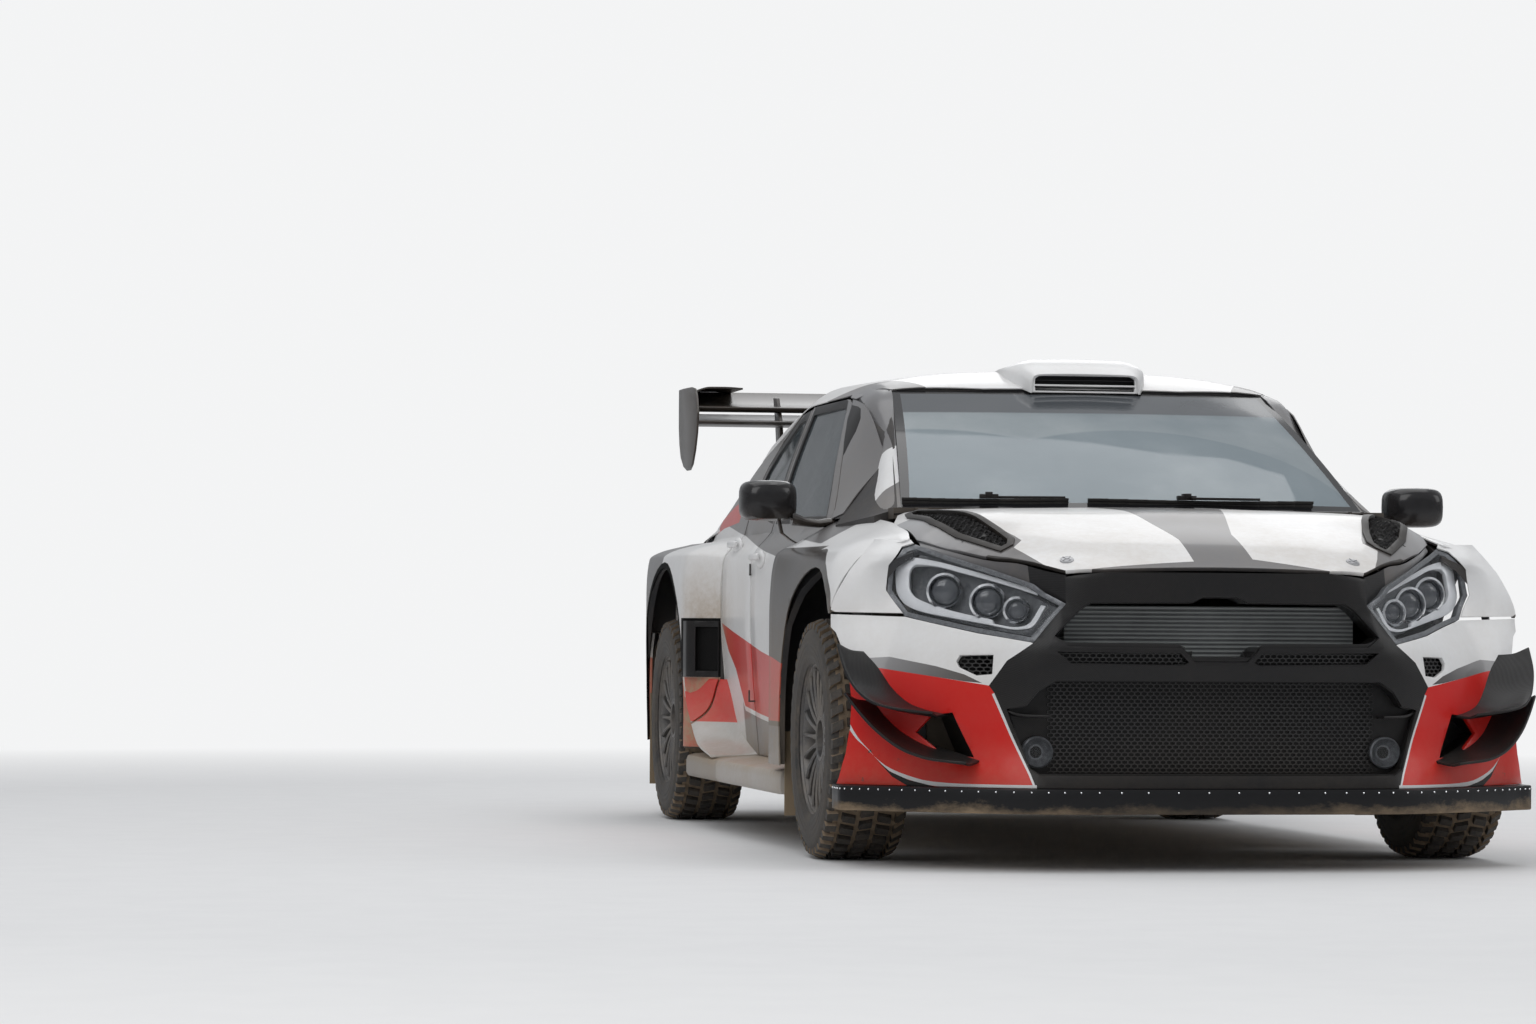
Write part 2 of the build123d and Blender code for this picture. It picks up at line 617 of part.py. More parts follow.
# Tailgate with its window, drawn as side profiles at distances from the centre
TAILGATE_TOP = TAILGATE_HINGE_R
TAILGATE = [
    (0, [(TAILGATE_TOP, 1262), (130, 1178), (450, 1062), (600, 992), (645, 935), (650, 642)]),
    (300, [(TAILGATE_TOP, 1251), (130, 1166), (450, 1050), (592, 986), (638, 930), (643, 642)]),
    (566, [(TAILGATE_TOP, 1208), (130, 1112), (436, 1018), (556, 974), (600, 922), (606, 642)]),
]
TAILGATE_THICKNESS = 34.0


def tailgate_sheet(depth0, depth1):
    sections = []
    rows = [(-x, p) for x, p in TAILGATE[:0:-1]] + TAILGATE
    for x, profile in rows:
        outer = [(rear(r) - depth0 * (0.9 if k > 3 else 0.2), z - depth0 * (0.2 if k > 3 else 0.95))
                 for k, (r, z) in enumerate(profile)]
        inner = [(rear(r) - depth1 * (0.9 if k > 3 else 0.2), z - depth1 * (0.2 if k > 3 else 0.95))
                 for k, (r, z) in enumerate(profile)]
        outer[0] = (rear(profile[0][0]), profile[0][1] - depth0)
        inner[0] = (rear(profile[0][0]), profile[0][1] - depth1)
        outer[5] = (outer[5][0], 642)
        inner[5] = (inner[5][0], 642)
        sections.append([(x, y, z) for y, z in outer + inner[::-1]])
    return loft_through(sections)


rear_screen = [(440, rear(-120)), (470, rear(400)), (-470, rear(400)), (-440, rear(-120))]
tailgate = tailgate_sheet(0, TAILGATE_THICKNESS) - prism_z(rear_screen, 900, 1400)
glass_hole = [(x - GLASS_CLEARANCE if x > 0 else x + GLASS_CLEARANCE, y) for x, y in rear_screen]
glass_hole = [(x, y + GLASS_CLEARANCE if y < rear(0) else y - GLASS_CLEARANCE) for x, y in glass_hole]
tailgate_glass = tailgate_sheet(4, 10) & prism_z(glass_hole, 900, 1400)

# Rear corners of the body beside the tailgate
corner = loft_through([
    [(575, rear(420), 600), (800, rear(420), 600), (800, rear(420), 800), (720, rear(420), 905),
     (645, rear(420), 985), (575, rear(420), 1040)],
    [(575, rear(600), 600), (760, rear(600), 600), (758, rear(600), 800), (700, rear(600), 880),
     (625, rear(600), 935), (575, rear(600), 970)],
    [(575, rear(632), 600), (700, rear(632), 600), (698, rear(632), 800), (660, rear(632), 880),
     (610, rear(632), 915), (575, rear(632), 930)],
])
TAIL_LAMP = [(705, rear(520)), (800, rear(520)), (800, rear(700)), (590, rear(700)), (590, rear(600))]
lamp_pocket = prism_z([(x, y) for x, y in TAIL_LAMP], 760, 900)
tail_lamp = (corner & prism_z(TAIL_LAMP, 760.3, 899.7)) & box(590.3, 900, rear(520.3), rear(700), 700, 1000)
corner = corner - lamp_pocket
corner = corner - box(500, 574, rear(300), rear(700), 500, 1100)
shell = union([shell, corner, mirrored(corner)])
shell = shell - lamp_pocket - mirrored(lamp_pocket)
shell = shell - box(-572, 572, rear(TAILGATE_HINGE_R - 5), rear(700), 600, 1400)

# Rear bumper. Each row: z, then points from the centre out as (x, r)
TAIL = [
    (250, [(0, 700), (560, 690), (760, 610), (880, 500), (906, 402)]),
    (430, [(0, 740), (560, 728), (780, 640), (900, 510), (920, 402)]),
    (599.7, [(0, 728), (560, 714), (770, 625), (884, 500), (908, 402)]),
]
sections = []
for z, outline in TAIL:
    outer = [(x, rear(r)) for x, r in outline]
    inner = [(x, y - BUMPER_WALL) for x, y in outer[:2]]
    inner += [(x - 0.7 * BUMPER_WALL, y - 0.7 * BUMPER_WALL) for x, y in outer[2:4]]
    inner += [(outer[4][0] - BUMPER_WALL, outer[4][1])]
    full = [(-x, y) for x, y in outer[:0:-1]] + outer
    full += inner[::-1] + [(-x, y) for x, y in inner[1:]]
    sections.append([(x, y, z) for x, y in full])
rear_bumper = loft_through(sections)
PIPE_RADIUS = 42.0
PIPE_Z = 250.0
diffuser_cut = prism_y([(-420, 240), (-380, 370), (380, 370), (420, 240)], rear(500), rear(800))
rear_bumper = rear_bumper - diffuser_cut
diffuser = union([
    box(-430, 430, rear(562), rear(700), 372, 380),
    box(-430, 430, rear(562), rear(570), 160, 372) - rod((0, rear(500), PIPE_Z), (0, rear(600), PIPE_Z), PIPE_RADIUS + SEAT_GAP),
    box(-330, -322, rear(570), rear(700), 230, 372),
    box(-120, -112, rear(570), rear(700), 230, 372),
    box(112, 120, rear(570), rear(700), 230, 372),
    box(322, 330, rear(570), rear(700), 230, 372),
])

# Rear wing with two planes, end plates and two struts
WING_HALF = 776.0
WING_PLATE = 10.0


def plane_section(r, z, chord, thick, rise):
    return [
        (rear(r), z), (rear(r + 0.2 * chord), z - 0.6 * thick + 0.2 * rise),
        (rear(r + chord), z + rise - 3), (rear(r + chord), z + rise),
        (rear(r + 0.3 * chord), z + 0.4 * thick + 0.3 * rise),
    ]


upper_plane = prism_x(plane_section(430, 1388, 290, 26, 30), -WING_HALF + 1, WING_HALF - 1)
lower_plane = prism_x(plane_section(350, 1312, 250, 24, 16), -WING_HALF + 1, WING_HALF - 1)
END_PLATE = [
    (rear(340), 1330), (rear(400), 1412), (rear(560), 1420), (rear(738), 1424), (rear(738), 1300),
    (rear(690), 1190), (rear(560), 1142), (rear(470), 1150), (rear(380), 1240),
]
end_plate = prism_x(END_PLATE, WING_HALF - WING_PLATE, WING_HALF)
STRUT_X = 470.0
strut = prism_x(
    [(rear(330), 1040), (rear(480), 990), (rear(520), 1300), (rear(600), 1400), (rear(560), 1404),
     (rear(460), 1320), (rear(390), 1310)],
    STRUT_X, STRUT_X + 12,
)
strut = strut - tailgate
strut = [s for s in strut.solids() if s.bounding_box().max.Z > 1300][0]
rear_wing = union([upper_plane, lower_plane, end_plate, mirrored(end_plate), strut, mirrored(strut)])

# Side skirts
skirt = prism_y(
    [(FLOOR_EDGE + SEAT_GAP, SKIRT_BOTTOM_Z), (HALF - 8, SKIRT_BOTTOM_Z), (HALF - 8, SKIRT_BOTTOM_Z + 58),
     (HALF - 60, SILL_TOP_Z - SHUT_GAP - 4), (FLOOR_EDGE + SEAT_GAP, SILL_TOP_Z - SHUT_GAP - 4)],
    front(500), rear(-436),
)
skirt = skirt - shell - wing

# Roof scoop
SCOOP_MOUTH_RAKE = 0.98
mouth = [(-163, 1296), (163, 1296), (163, 1330), (120, 1352), (-120, 1352), (-163, 1330)]
scoop = loft_through([
    [(x, front(700) - SCOOP_MOUTH_RAKE * (z - 1296), z) for x, z in mouth],
    [(-205, front(830), 1310), (205, front(830), 1310), (205, front(830), 1384), (150, front(830), 1403),
     (-150, front(830), 1403), (-205, front(830), 1384)],
    [(-190, front(1080), 1340), (190, front(1080), 1340), (190, front(1080), 1372), (150, front(1080), 1384),
     (-150, front(1080), 1384), (-190, front(1080), 1372)],
])
scoop = scoop - prism_y([(-145, 1318), (145, 1318), (145, 1330), (-145, 1330)], front(600), front(780))
scoop = scoop - prism_y([(-130, 1335), (130, 1335), (130, 1346), (-130, 1346)], front(600), front(780))
scoop = scoop - roof - windscreen
scoop = max(scoop.solids(), key=lambda s: s.volume)

# Wheels, drawn about the X axis at the origin with the outer side at +X
SEAT_RADIUS = RIM_FLANGE_RADIUS - RIM_SEAT_DROP
HALF_RIM = RIM_WIDTH / 2
HALF_TYRE = TYRE_WIDTH / 2


def turned(profile):
    return revolve(face([(x, 0, r) for x, r in profile]), axis=Axis.X)


carcass = [
    (-HALF_RIM + 7, SEAT_RADIUS + SEAT_GAP), (-HALF_RIM + 6.5, RIM_FLANGE_RADIUS + 2),
    (-HALF_TYRE, 252), (-HALF_TYRE, TYRE_RADIUS - 34), (-HALF_TYRE + 10, TYRE_RADIUS - 9),
    (-HALF_TYRE + 30, TYRE_RADIUS),
]
carcass += [(-x, r) for x, r in carcass[::-1]]
core = [
    (HALF_RIM - 22, SEAT_RADIUS + SEAT_GAP), (HALF_RIM - 12, 232), (HALF_TYRE - TYRE_WALL, 254),
    (HALF_TYRE - TYRE_WALL, TYRE_RADIUS - 36), (HALF_TYRE - 34, TYRE_RADIUS - TYRE_WALL),
]
core += [(-x, r) for x, r in core[::-1]]
tyre = turned(carcass + core)
barrel = [
    (-HALF_RIM, RIM_FLANGE_RADIUS), (-HALF_RIM, SEAT_RADIUS - RIM_WALL), (-HALF_RIM + 30, SEAT_RADIUS - RIM_WALL),
    (-HALF_RIM + 40, SEAT_RADIUS - RIM_WALL - 12), (HALF_RIM - 40, SEAT_RADIUS - RIM_WALL - 12),
    (HALF_RIM - 30, SEAT_RADIUS - RIM_WALL), (HALF_RIM, SEAT_RADIUS - RIM_WALL), (HALF_RIM, RIM_FLANGE_RADIUS),
    (HALF_RIM - 6, RIM_FLANGE_RADIUS), (HALF_RIM - 6, SEAT_RADIUS), (HALF_RIM - 28, SEAT_RADIUS),
    (HALF_RIM - 38, SEAT_RADIUS - 12), (-HALF_RIM + 38, SEAT_RADIUS - 12), (-HALF_RIM + 28, SEAT_RADIUS),
    (-HALF_RIM + 6, SEAT_RADIUS), (-HALF_RIM + 6, RIM_FLANGE_RADIUS),
]
HUB_FACE = 84.0
HUB_HOLE_RADIUS = 50.0
HUB_HOLE_DEPTH = 62.0
SPOKE_HALF_WIDTH = 4.5
rim = turned(barrel)
hub = disc_x(-10, HUB_FACE, 0, 0, HUB_RADIUS)
hub = hub - disc_x(HUB_FACE - HUB_HOLE_DEPTH, HUB_FACE + 5, 0, 0, HUB_HOLE_RADIUS)
SPOKE_ROOT = HUB_RADIUS - 6
SPOKE_TIP = SEAT_RADIUS - RIM_WALL - 6
spoke = loft_through([
    [(HUB_FACE - 30, -SPOKE_HALF_WIDTH, SPOKE_ROOT), (HUB_FACE - 3, -SPOKE_HALF_WIDTH, SPOKE_ROOT),
     (HUB_FACE - 3, SPOKE_HALF_WIDTH, SPOKE_ROOT), (HUB_FACE - 30, SPOKE_HALF_WIDTH, SPOKE_ROOT)],
    [(HALF_RIM - 40, -SPOKE_HALF_WIDTH, SPOKE_TIP), (HALF_RIM - 15, -SPOKE_HALF_WIDTH, SPOKE_TIP),
     (HALF_RIM - 15, SPOKE_HALF_WIDTH, SPOKE_TIP), (HALF_RIM - 40, SPOKE_HALF_WIDTH, SPOKE_TIP)],
])
rim_ring = turned([
    (HALF_RIM - 46, SEAT_RADIUS - RIM_WALL - 14), (HALF_RIM - 12, SEAT_RADIUS - RIM_WALL - 14),
    (HALF_RIM - 12, SEAT_RADIUS - RIM_WALL + 1), (HALF_RIM - 46, SEAT_RADIUS - RIM_WALL + 1),
])
rim = union([rim, rim_ring, hub] + [Rot(360.0 * k / SPOKE_COUNT, 0, 0) * spoke for k in range(SPOKE_COUNT)])
brake_disc = disc_x(-48, -48 + DISC_THICKNESS, 0, 0, DISC_RADIUS) - disc_x(-50, -20, 0, 0, HUB_RADIUS - 4)
bell = disc_x(-48, -10 - SEAT_GAP, 0, 0, HUB_RADIUS) - disc_x(-50, -16, 0, 0, HUB_RADIUS - 10)
brake_disc = brake_disc + bell


def placed_wheel(side, y, shape):
    if side > 0:
        return Pos(WHEEL_X, y, AXLE_Z) * shape
    return Pos(-WHEEL_X, y, AXLE_Z) * Rot(0, 0, 180) * shape


# Uprights with brake callipers; front ones turn about the kingpin line
def upright(y, with_strut):
    carrier = disc_x(-84, -55, 0, 0, 52) - disc_x(-90, -50, 0, 0, 14)
    stem = disc_x(-60, -16 - SEAT_GAP, 0, 0, HUB_RADIUS - 22)
    carrier = carrier + stem
    carrier = carrier + box(-92, -62, -34, 34, -102, 124)
    carrier = carrier + box(-146, -62, -34, 34, 92, 124)
    jaw = box(-64, -18, -172, -118, -52, 52) - disc_x(-48 - 3, -48 + DISC_THICKNESS + 3, 0, 0, DISC_RADIUS + 4)
    jaw = jaw + box(-84, -60, -150, 0, -24, 24)
    carrier = carrier + jaw
    carrier = Pos(WHEEL_X, y, AXLE_Z) * carrier
    return carrier


def strut_body(y):
    low_z = AXLE_Z + 118
    frame = Plane(
        origin=(kingpin_x(STRUT_TOP_Z), y, STRUT_TOP_Z),
        x_dir=(cos(lean), 0, sin(lean)),
        z_dir=(-sin(lean), 0, cos(lean)),
    )
    length = (STRUT_TOP_Z - low_z) / cos(lean)
    tube = frame * Pos(0, 0, -length / 2) * Cylinder(STRUT_RADIUS - 2, length)
    spring = frame * Pos(0, 0, -70) * Cylinder(SPRING_RADIUS, 140)
    return tube + spring


front_upright = upright(FRONT_AXLE_Y, True) + strut_body(FRONT_AXLE_Y)
rear_upright = upright(REAR_AXLE_Y, False)


FLOOR_TOP = FLOOR_Z + FLOOR_THICKNESS
ARM_SPREAD = 110.0


def arm_set(y, inboard_x, turned_wheel):
    ball = Pos(KINGPIN_LOW[0], y, KINGPIN_LOW[1]) * Sphere(15)
    legs = [
        rod((inboard_x, y - ARM_SPREAD, 196), (KINGPIN_LOW[0] - 6, y, KINGPIN_LOW[1]), 14),
        rod((inboard_x, y + ARM_SPREAD, 196), (KINGPIN_LOW[0] - 6, y, KINGPIN_LOW[1]), 14),
    ]
    feet = [
        box(inboard_x - 24, inboard_x + 16, y + side - 24, y + side + 24, FLOOR_TOP + SEAT_GAP, 212)
        for side in (-ARM_SPREAD, ARM_SPREAD)
    ]
    return union([ball] + legs + feet)


front_arms = arm_set(FRONT_AXLE_Y, 380, True)
rear_arms = arm_set(REAR_AXLE_Y, 380, False)
ball_room = Pos(KINGPIN_LOW[0], FRONT_AXLE_Y, KINGPIN_LOW[1]) * Sphere(15 + SEAT_GAP)
front_upright = front_upright - ball_room
rear_upright = rear_upright + strut_body(REAR_AXLE_Y)
rear_upright = rear_upright - (Pos(KINGPIN_LOW[0], REAR_AXLE_Y, KINGPIN_LOW[1]) * Sphere(15 + SEAT_GAP))
rear_seat_frame = Plane(
    origin=(kingpin_x(STRUT_TOP_Z), REAR_AXLE_Y, STRUT_TOP_Z),
    x_dir=(cos(lean), 0, sin(lean)),
    z_dir=(-sin(lean), 0, cos(lean)),
)
rear_tower = rear_seat_frame * Pos(20, 0, SEAT_GAP + 12) * Box(150, 160, 24)
rear_hole = rear_seat_frame * Pos(0, 0, -60) * Cylinder(SPRING_RADIUS + 12, 119)
cell_rear = (cell_rear - rear_hole - mirrored(rear_hole)) + [rear_tower, mirrored(rear_tower)]
cell_rear = cell_rear - shell - roof
cell_front = cell_front - shell - wing - mirrored(wing)
gearbox = box(-150, 150, front(-60), front(140), FLOOR_TOP + SEAT_GAP, 420)
half_shaft = disc_x(150, 655, FRONT_AXLE_Y, AXLE_Z, 14) + disc_x(620, 660, FRONT_AXLE_Y, AXLE_Z, 28)
final_drive = box(-120, 120, rear(-120), rear(110), FLOOR_TOP + SEAT_GAP, 400)
rear_shaft = disc_x(120, 655, REAR_AXLE_Y, AXLE_Z, 14) + disc_x(620, 660, REAR_AXLE_Y, AXLE_Z, 28)
drive = [
    union([gearbox, half_shaft, mirrored(half_shaft)]),
    union([final_drive, rear_shaft, mirrored(rear_shaft)]),
]
engine = box(-320, 320, front(-480), front(-62), FLOOR_TOP + SEAT_GAP, 640)

# Mud flaps behind the four wheels
FLAP_THICKNESS = 6.0
flap_y = front(480) - SEAT_GAP - FLAP_THICKNESS
front_flap = box(738, HALF - 26, flap_y, flap_y + FLAP_THICKNESS, 96, 330)
flap_y = rear(402) - SEAT_GAP - FLAP_THICKNESS
rear_flap = box(660, HALF - 20, flap_y, flap_y + FLAP_THICKNESS, 100, 400)

# Seats: bucket shells, each one a base, a back and raised sides
SEAT_X = 330.0
SEAT_FRONT_F = 830.0


def bucket():
    profile = [
        (0, 300), (420, 250), (520, 270), (690, 860), (640, 880), (600, 870), (440, 340), (0, 380),
    ]
    pad = prism_x([(front(SEAT_FRONT_F) + y, z) for y, z in profile], -190, 190)
    side = [(0, 300), (420, 250), (520, 270), (660, 760), (540, 700), (430, 470), (60, 450), (0, 420)]
    wing_plate = prism_x([(front(SEAT_FRONT_F) + y, z) for y, z in side], 190, 226)
    ear = [(600, 720), (640, 690), (690, 860), (600, 880), (500, 850), (520, 760)]
    ear_plate = prism_x([(front(SEAT_FRONT_F) + y, z) for y, z in ear], 190, 214)
    rail_bar = box(150, 180, front(SEAT_FRONT_F) + 60, front(SEAT_FRONT_F) + 400, FLOOR_TOP + SEAT_GAP, 300)
    pieces = [pad, wing_plate, mirrored(wing_plate), ear_plate, mirrored(ear_plate)]
    pieces += [rail_bar, mirrored(rail_bar)]
    return union(pieces)


seat = bucket()
seats = [Pos(SEAT_X, 0, 0) * seat, Pos(-SEAT_X, 0, 0) * seat]

# Roll cage of round tube
TUBE = 20.0
hoop_low = (630, front(1560), FLOOR_TOP)
hoop_mid = (630, front(1560), 860)
hoop_top = (500, front(1560), 1290)
screen_low = (620, front(640), FLOOR_TOP)
screen_mid = (620, front(640), 880)
screen_top = (480, front(930), 1262)
stay_low = (600, rear(0), 833.2)
rods = [
    (hoop_low, hoop_mid), (hoop_mid, hoop_top), (screen_low, screen_mid), (screen_mid, screen_top),
    (screen_top, hoop_top), (hoop_top, stay_low), (hoop_mid, (620, front(640), 460)),
]
cage_parts = [rod(a, b, TUBE) for a, b in rods]
cage_parts += [Pos(*p) * Sphere(TUBE) for p in (hoop_mid, hoop_top, screen_mid, screen_top, stay_low)]
cage_left = union(cage_parts)
cross = [
    rod((-500, front(1560), 1290), (500, front(1560), 1290), TUBE),
    rod((-480, front(930), 1262), (480, front(930), 1262), TUBE),
    rod((-630, front(1560), 860), (630, front(1560), 860), TUBE),
    rod((-500, front(1560), 1290), (630, front(1560), 860), TUBE - 1),
]
cage = union([cage_left, mirrored(cage_left)] + cross)

# Dashboard and steering wheel
dash = prism_x(
    [(front(164) + SEAT_GAP, 760), (front(164) + SEAT_GAP, 915), (front(420), 915), (front(560), 880), (front(570), 800),
     (front(420), 760)],
    -590, 590,
)
WHEEL_TILT = radians(24)
steer_centre = (SEAT_X, front(800), 790)
steer_frame = Plane(origin=steer_centre, z_dir=(0, cos(WHEEL_TILT), sin(WHEEL_TILT)))
steer_ring = steer_frame * Torus(165, 14)
steer_bar = steer_frame * Box(320, 26, 14)
steer_column = rod(steer_centre, (SEAT_X, front(800) - 420 * cos(WHEEL_TILT), 790 - 420 * sin(WHEEL_TILT)), 18)
steer_boss = steer_frame * Cylinder(40, 30)
bracket = box(SEAT_X - 30, SEAT_X + 30, front(430), front(480), 600, 790)
dash = union([dash, bracket, steer_column, steer_boss, steer_bar, steer_ring])

# Exhaust
pipe = rod((0, rear(150), PIPE_Z), (0, rear(716), PIPE_Z), PIPE_RADIUS)
pipe = pipe - rod((0, rear(140), PIPE_Z), (0, rear(730), PIPE_Z), PIPE_RADIUS - 4)

# Wipers at the foot of the screen
def wiper(foot_x, foot_f, tip_x, tip_f):
    arm = rod((foot_x, front(foot_f), 960), (tip_x, front(tip_f), 974), 6)
    boss = Pos(foot_x, front(foot_f), COWL_TOP_Z + SEAT_GAP + 10) * Cylinder(7, 20)
    return arm + boss


# Mirrors on the front doors
mirror_head = loft_through([
    [(876, front(520), 930), (1010, front(520), 938), (1010, front(520), 1012), (876, front(520), 1020)],
    [(862, front(560), 918), (1025, front(560), 928), (1025, front(560), 1026), (862, front(560), 1032)],
    [(866, front(620), 922), (1022, front(620), 932), (1022, front(620), 1022), (866, front(620), 1028)],
])
mirror_arm = loft_through([
    [(738, front(612), 925), (738, front(672), 925), (738, front(672), 944), (738, front(612), 944)],
    [(930, front(560), 912), (930, front(610), 912), (930, front(610), 930), (930, front(560), 930)],
])
mirror_stay = rod((900, front(585), 860), (940, front(585), 925), 5)
mirror_piece = union([mirror_head, mirror_arm, mirror_stay]) - front_door - front_door_glass
mirror_piece = max(mirror_piece.solids(), key=lambda s: s.volume)

# Hinges. Each has a pin on ears of the fixed side and a knuckle on the moving side
PIN_RADIUS = 2.5
PIN_CLEARANCE = 0.05
KNUCKLE_RADIUS = 5.5
KNUCKLE_LENGTH = 30.0
EAR = 5.0
DOOR_HINGE_X = HALF - 100.0


def door_hinge(y, z, post_x, ear_back):
    pin = Pos(DOOR_HINGE_X, y, z + KNUCKLE_LENGTH / 2 - EAR / 2) * Cylinder(PIN_RADIUS, KNUCKLE_LENGTH + EAR)
    ear = box(post_x, DOOR_HINGE_X + PIN_RADIUS, y - ear_back, y + PIN_RADIUS, z - EAR - SEAT_GAP, z - SEAT_GAP)
    knuckle = Pos(DOOR_HINGE_X, y, z + KNUCKLE_LENGTH / 2) * Cylinder(KNUCKLE_RADIUS, KNUCKLE_LENGTH)
    strap = box(DOOR_HINGE_X - 40, DOOR_HINGE_X, y + 1, y + 20, z, z + KNUCKLE_LENGTH)
    bore = Pos(DOOR_HINGE_X, y, z + KNUCKLE_LENGTH / 2) * Cylinder(PIN_RADIUS + PIN_CLEARANCE, 200)
    room = Pos(DOOR_HINGE_X, y, z) * Cylinder(KNUCKLE_RADIUS + 1, 2 * EAR + 4 * KNUCKLE_LENGTH)
    return pin + ear, knuckle + strap, bore, room


def cross_hinge(x, y, z, ear_box, strap_box):
    half = KNUCKLE_LENGTH / 2
    pin = disc_x(x - half - EAR, x + half + EAR, y, z, PIN_RADIUS)
    y0, y1, z0, z1 = ear_box
    ears = [
        box(x - half - SEAT_GAP - EAR, x - half - SEAT_GAP, y0, y1, z0, z1),
        box(x + half + SEAT_GAP, x + half + SEAT_GAP + EAR, y0, y1, z0, z1),
    ]
    knuckle = disc_x(x - half, x + half, y, z, KNUCKLE_RADIUS)
    y0, y1, z0, z1 = strap_box
    strap = box(x - half, x + half, y0, y1, z0, z1)
    bore = disc_x(x - half - 1, x + half + 1, y, z, PIN_RADIUS + PIN_CLEARANCE)
    return union([pin] + ears), (knuckle + strap) - bore


front_hinge_y = front(DOOR_FRONT_F - SHUT_GAP / 2)
rear_hinge_y = front(B_PILLAR_F + SHUT_GAP / 2)
fixed = []
for z in (400.0, 780.0):
    pin, knuckle, bore, room = door_hinge(front_hinge_y, z, 700, 14)
    fixed.append(pin)
    front_door = (front_door + knuckle) - bore
    pin, knuckle, bore, room = door_hinge(rear_hinge_y, z, 700, 4)
    rear_door = (rear_door + knuckle) - bore
    fixed.append(pin)
shell = union([shell] + fixed + [mirrored(p) for p in fixed])
bonnet_axis = (front(BONNET_HINGE_F), BONNET_HINGE_Z)
cowl_pin, bonnet_knuckle = cross_hinge(
    610, *bonnet_axis,
    (bonnet_axis[0] - 4, bonnet_axis[0] + 14, BONNET_HINGE_Z - 9, BONNET_HINGE_Z + 5),
    (bonnet_axis[0] - 30, bonnet_axis[0], BONNET_HINGE_Z - 22, BONNET_HINGE_Z - 3),
)
bonnet_knuckle = bonnet_knuckle - box(500, 700, bonnet_axis[0] + 0.01, bonnet_axis[0] + 40, 800, 930)
cell_front = union([cell_front, cowl_pin, mirrored(cowl_pin)])
bonnet = union([bonnet, bonnet_knuckle, mirrored(bonnet_knuckle)])
gate_axis = (rear(TAILGATE_HINGE_R), TAILGATE_HINGE_Z)
roof_pin, gate_knuckle = cross_hinge(
    200, *gate_axis,
    (gate_axis[0] - 26, gate_axis[0] + 4, TAILGATE_HINGE_Z - 26, TAILGATE_HINGE_Z + 5),
    (gate_axis[0], gate_axis[0] + 30, TAILGATE_HINGE_Z - 24, TAILGATE_HINGE_Z),
)
shell = union([shell, roof_pin, mirrored(roof_pin)])
slots = [box(x, x + 10, gate_axis[0] - 10, gate_axis[0] + 10, 1180, 1300) for x in (175, 215)]
tailgate = tailgate - slots - [mirrored(s) for s in slots]
tailgate = union([tailgate, gate_knuckle, mirrored(gate_knuckle)])

save("floor_pan", floor)
save("body_shell", shell)
save("front_cell", cell_front)
save("rear_cell", cell_rear)
save("front_wing_left", wing)
save("front_wing_right", mirrored(wing))
save("front_bumper", bumper)
save("splitter", splitter)
save("canards", *canard_set, *[mirrored(c) for c in canard_set])
save("grille_mesh", grille)
save("grille_bar", bar)
save("radiator", radiator)
save("headlamps", lamp, mirrored(lamp))
save("bonnet", bonnet)
save("windscreen", windscreen)
save("wipers", wiper(560, 90, 40, 40), wiper(-60, 12, -540, 88))
save("front_door_left", front_door)
save("front_door_right", mirrored(front_door))
save("rear_door_left", rear_door)
save("rear_door_right", mirrored(rear_door))
save("front_glass_left", front_door_glass)
save("front_glass_right", mirrored(front_door_glass))
save("rear_glass_left", rear_door_glass)
save("rear_glass_right", mirrored(rear_door_glass))
save("mirror_left", mirror_piece)
save("mirror_right", mirrored(mirror_piece))
save("side_skirts", skirt, mirrored(skirt))
save("roof_scoop", scoop)
save("tailgate", tailgate)
save("tailgate_glass", tailgate_glass)
save("rear_wing", rear_wing)
save("rear_bumper", union([rear_bumper, diffuser]))
save("tail_lamps", tail_lamp, mirrored(tail_lamp))
for label, side, y in (
    ("front_left", 1, FRONT_AXLE_Y), ("front_right", -1, FRONT_AXLE_Y),
    ("rear_left", 1, REAR_AXLE_Y), ("rear_right", -1, REAR_AXLE_Y),
):
    save(f"tyre_{label}", placed_wheel(side, y, tyre))
    save(f"wheel_{label}", placed_wheel(side, y, rim), placed_wheel(side, y, brake_disc))
save("upright_front_left", front_upright)
save("upright_front_right", mirrored(front_upright))
save("uprights_rear", rear_upright, mirrored(rear_upright))
save("suspension_arms", front_arms, mirrored(front_arms), rear_arms, mirrored(rear_arms))
save("drivetrain", *drive)
save("engine_block", engine)
save("mud_flaps", front_flap, mirrored(front_flap), rear_flap, mirrored(rear_flap))
save("seats", *seats)
save("roll_cage", cage)
save("dashboard", dash)
save("exhaust", pipe)
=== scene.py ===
import math

import bmesh
import bpy
import numpy as np
from mathutils import Matrix, Vector


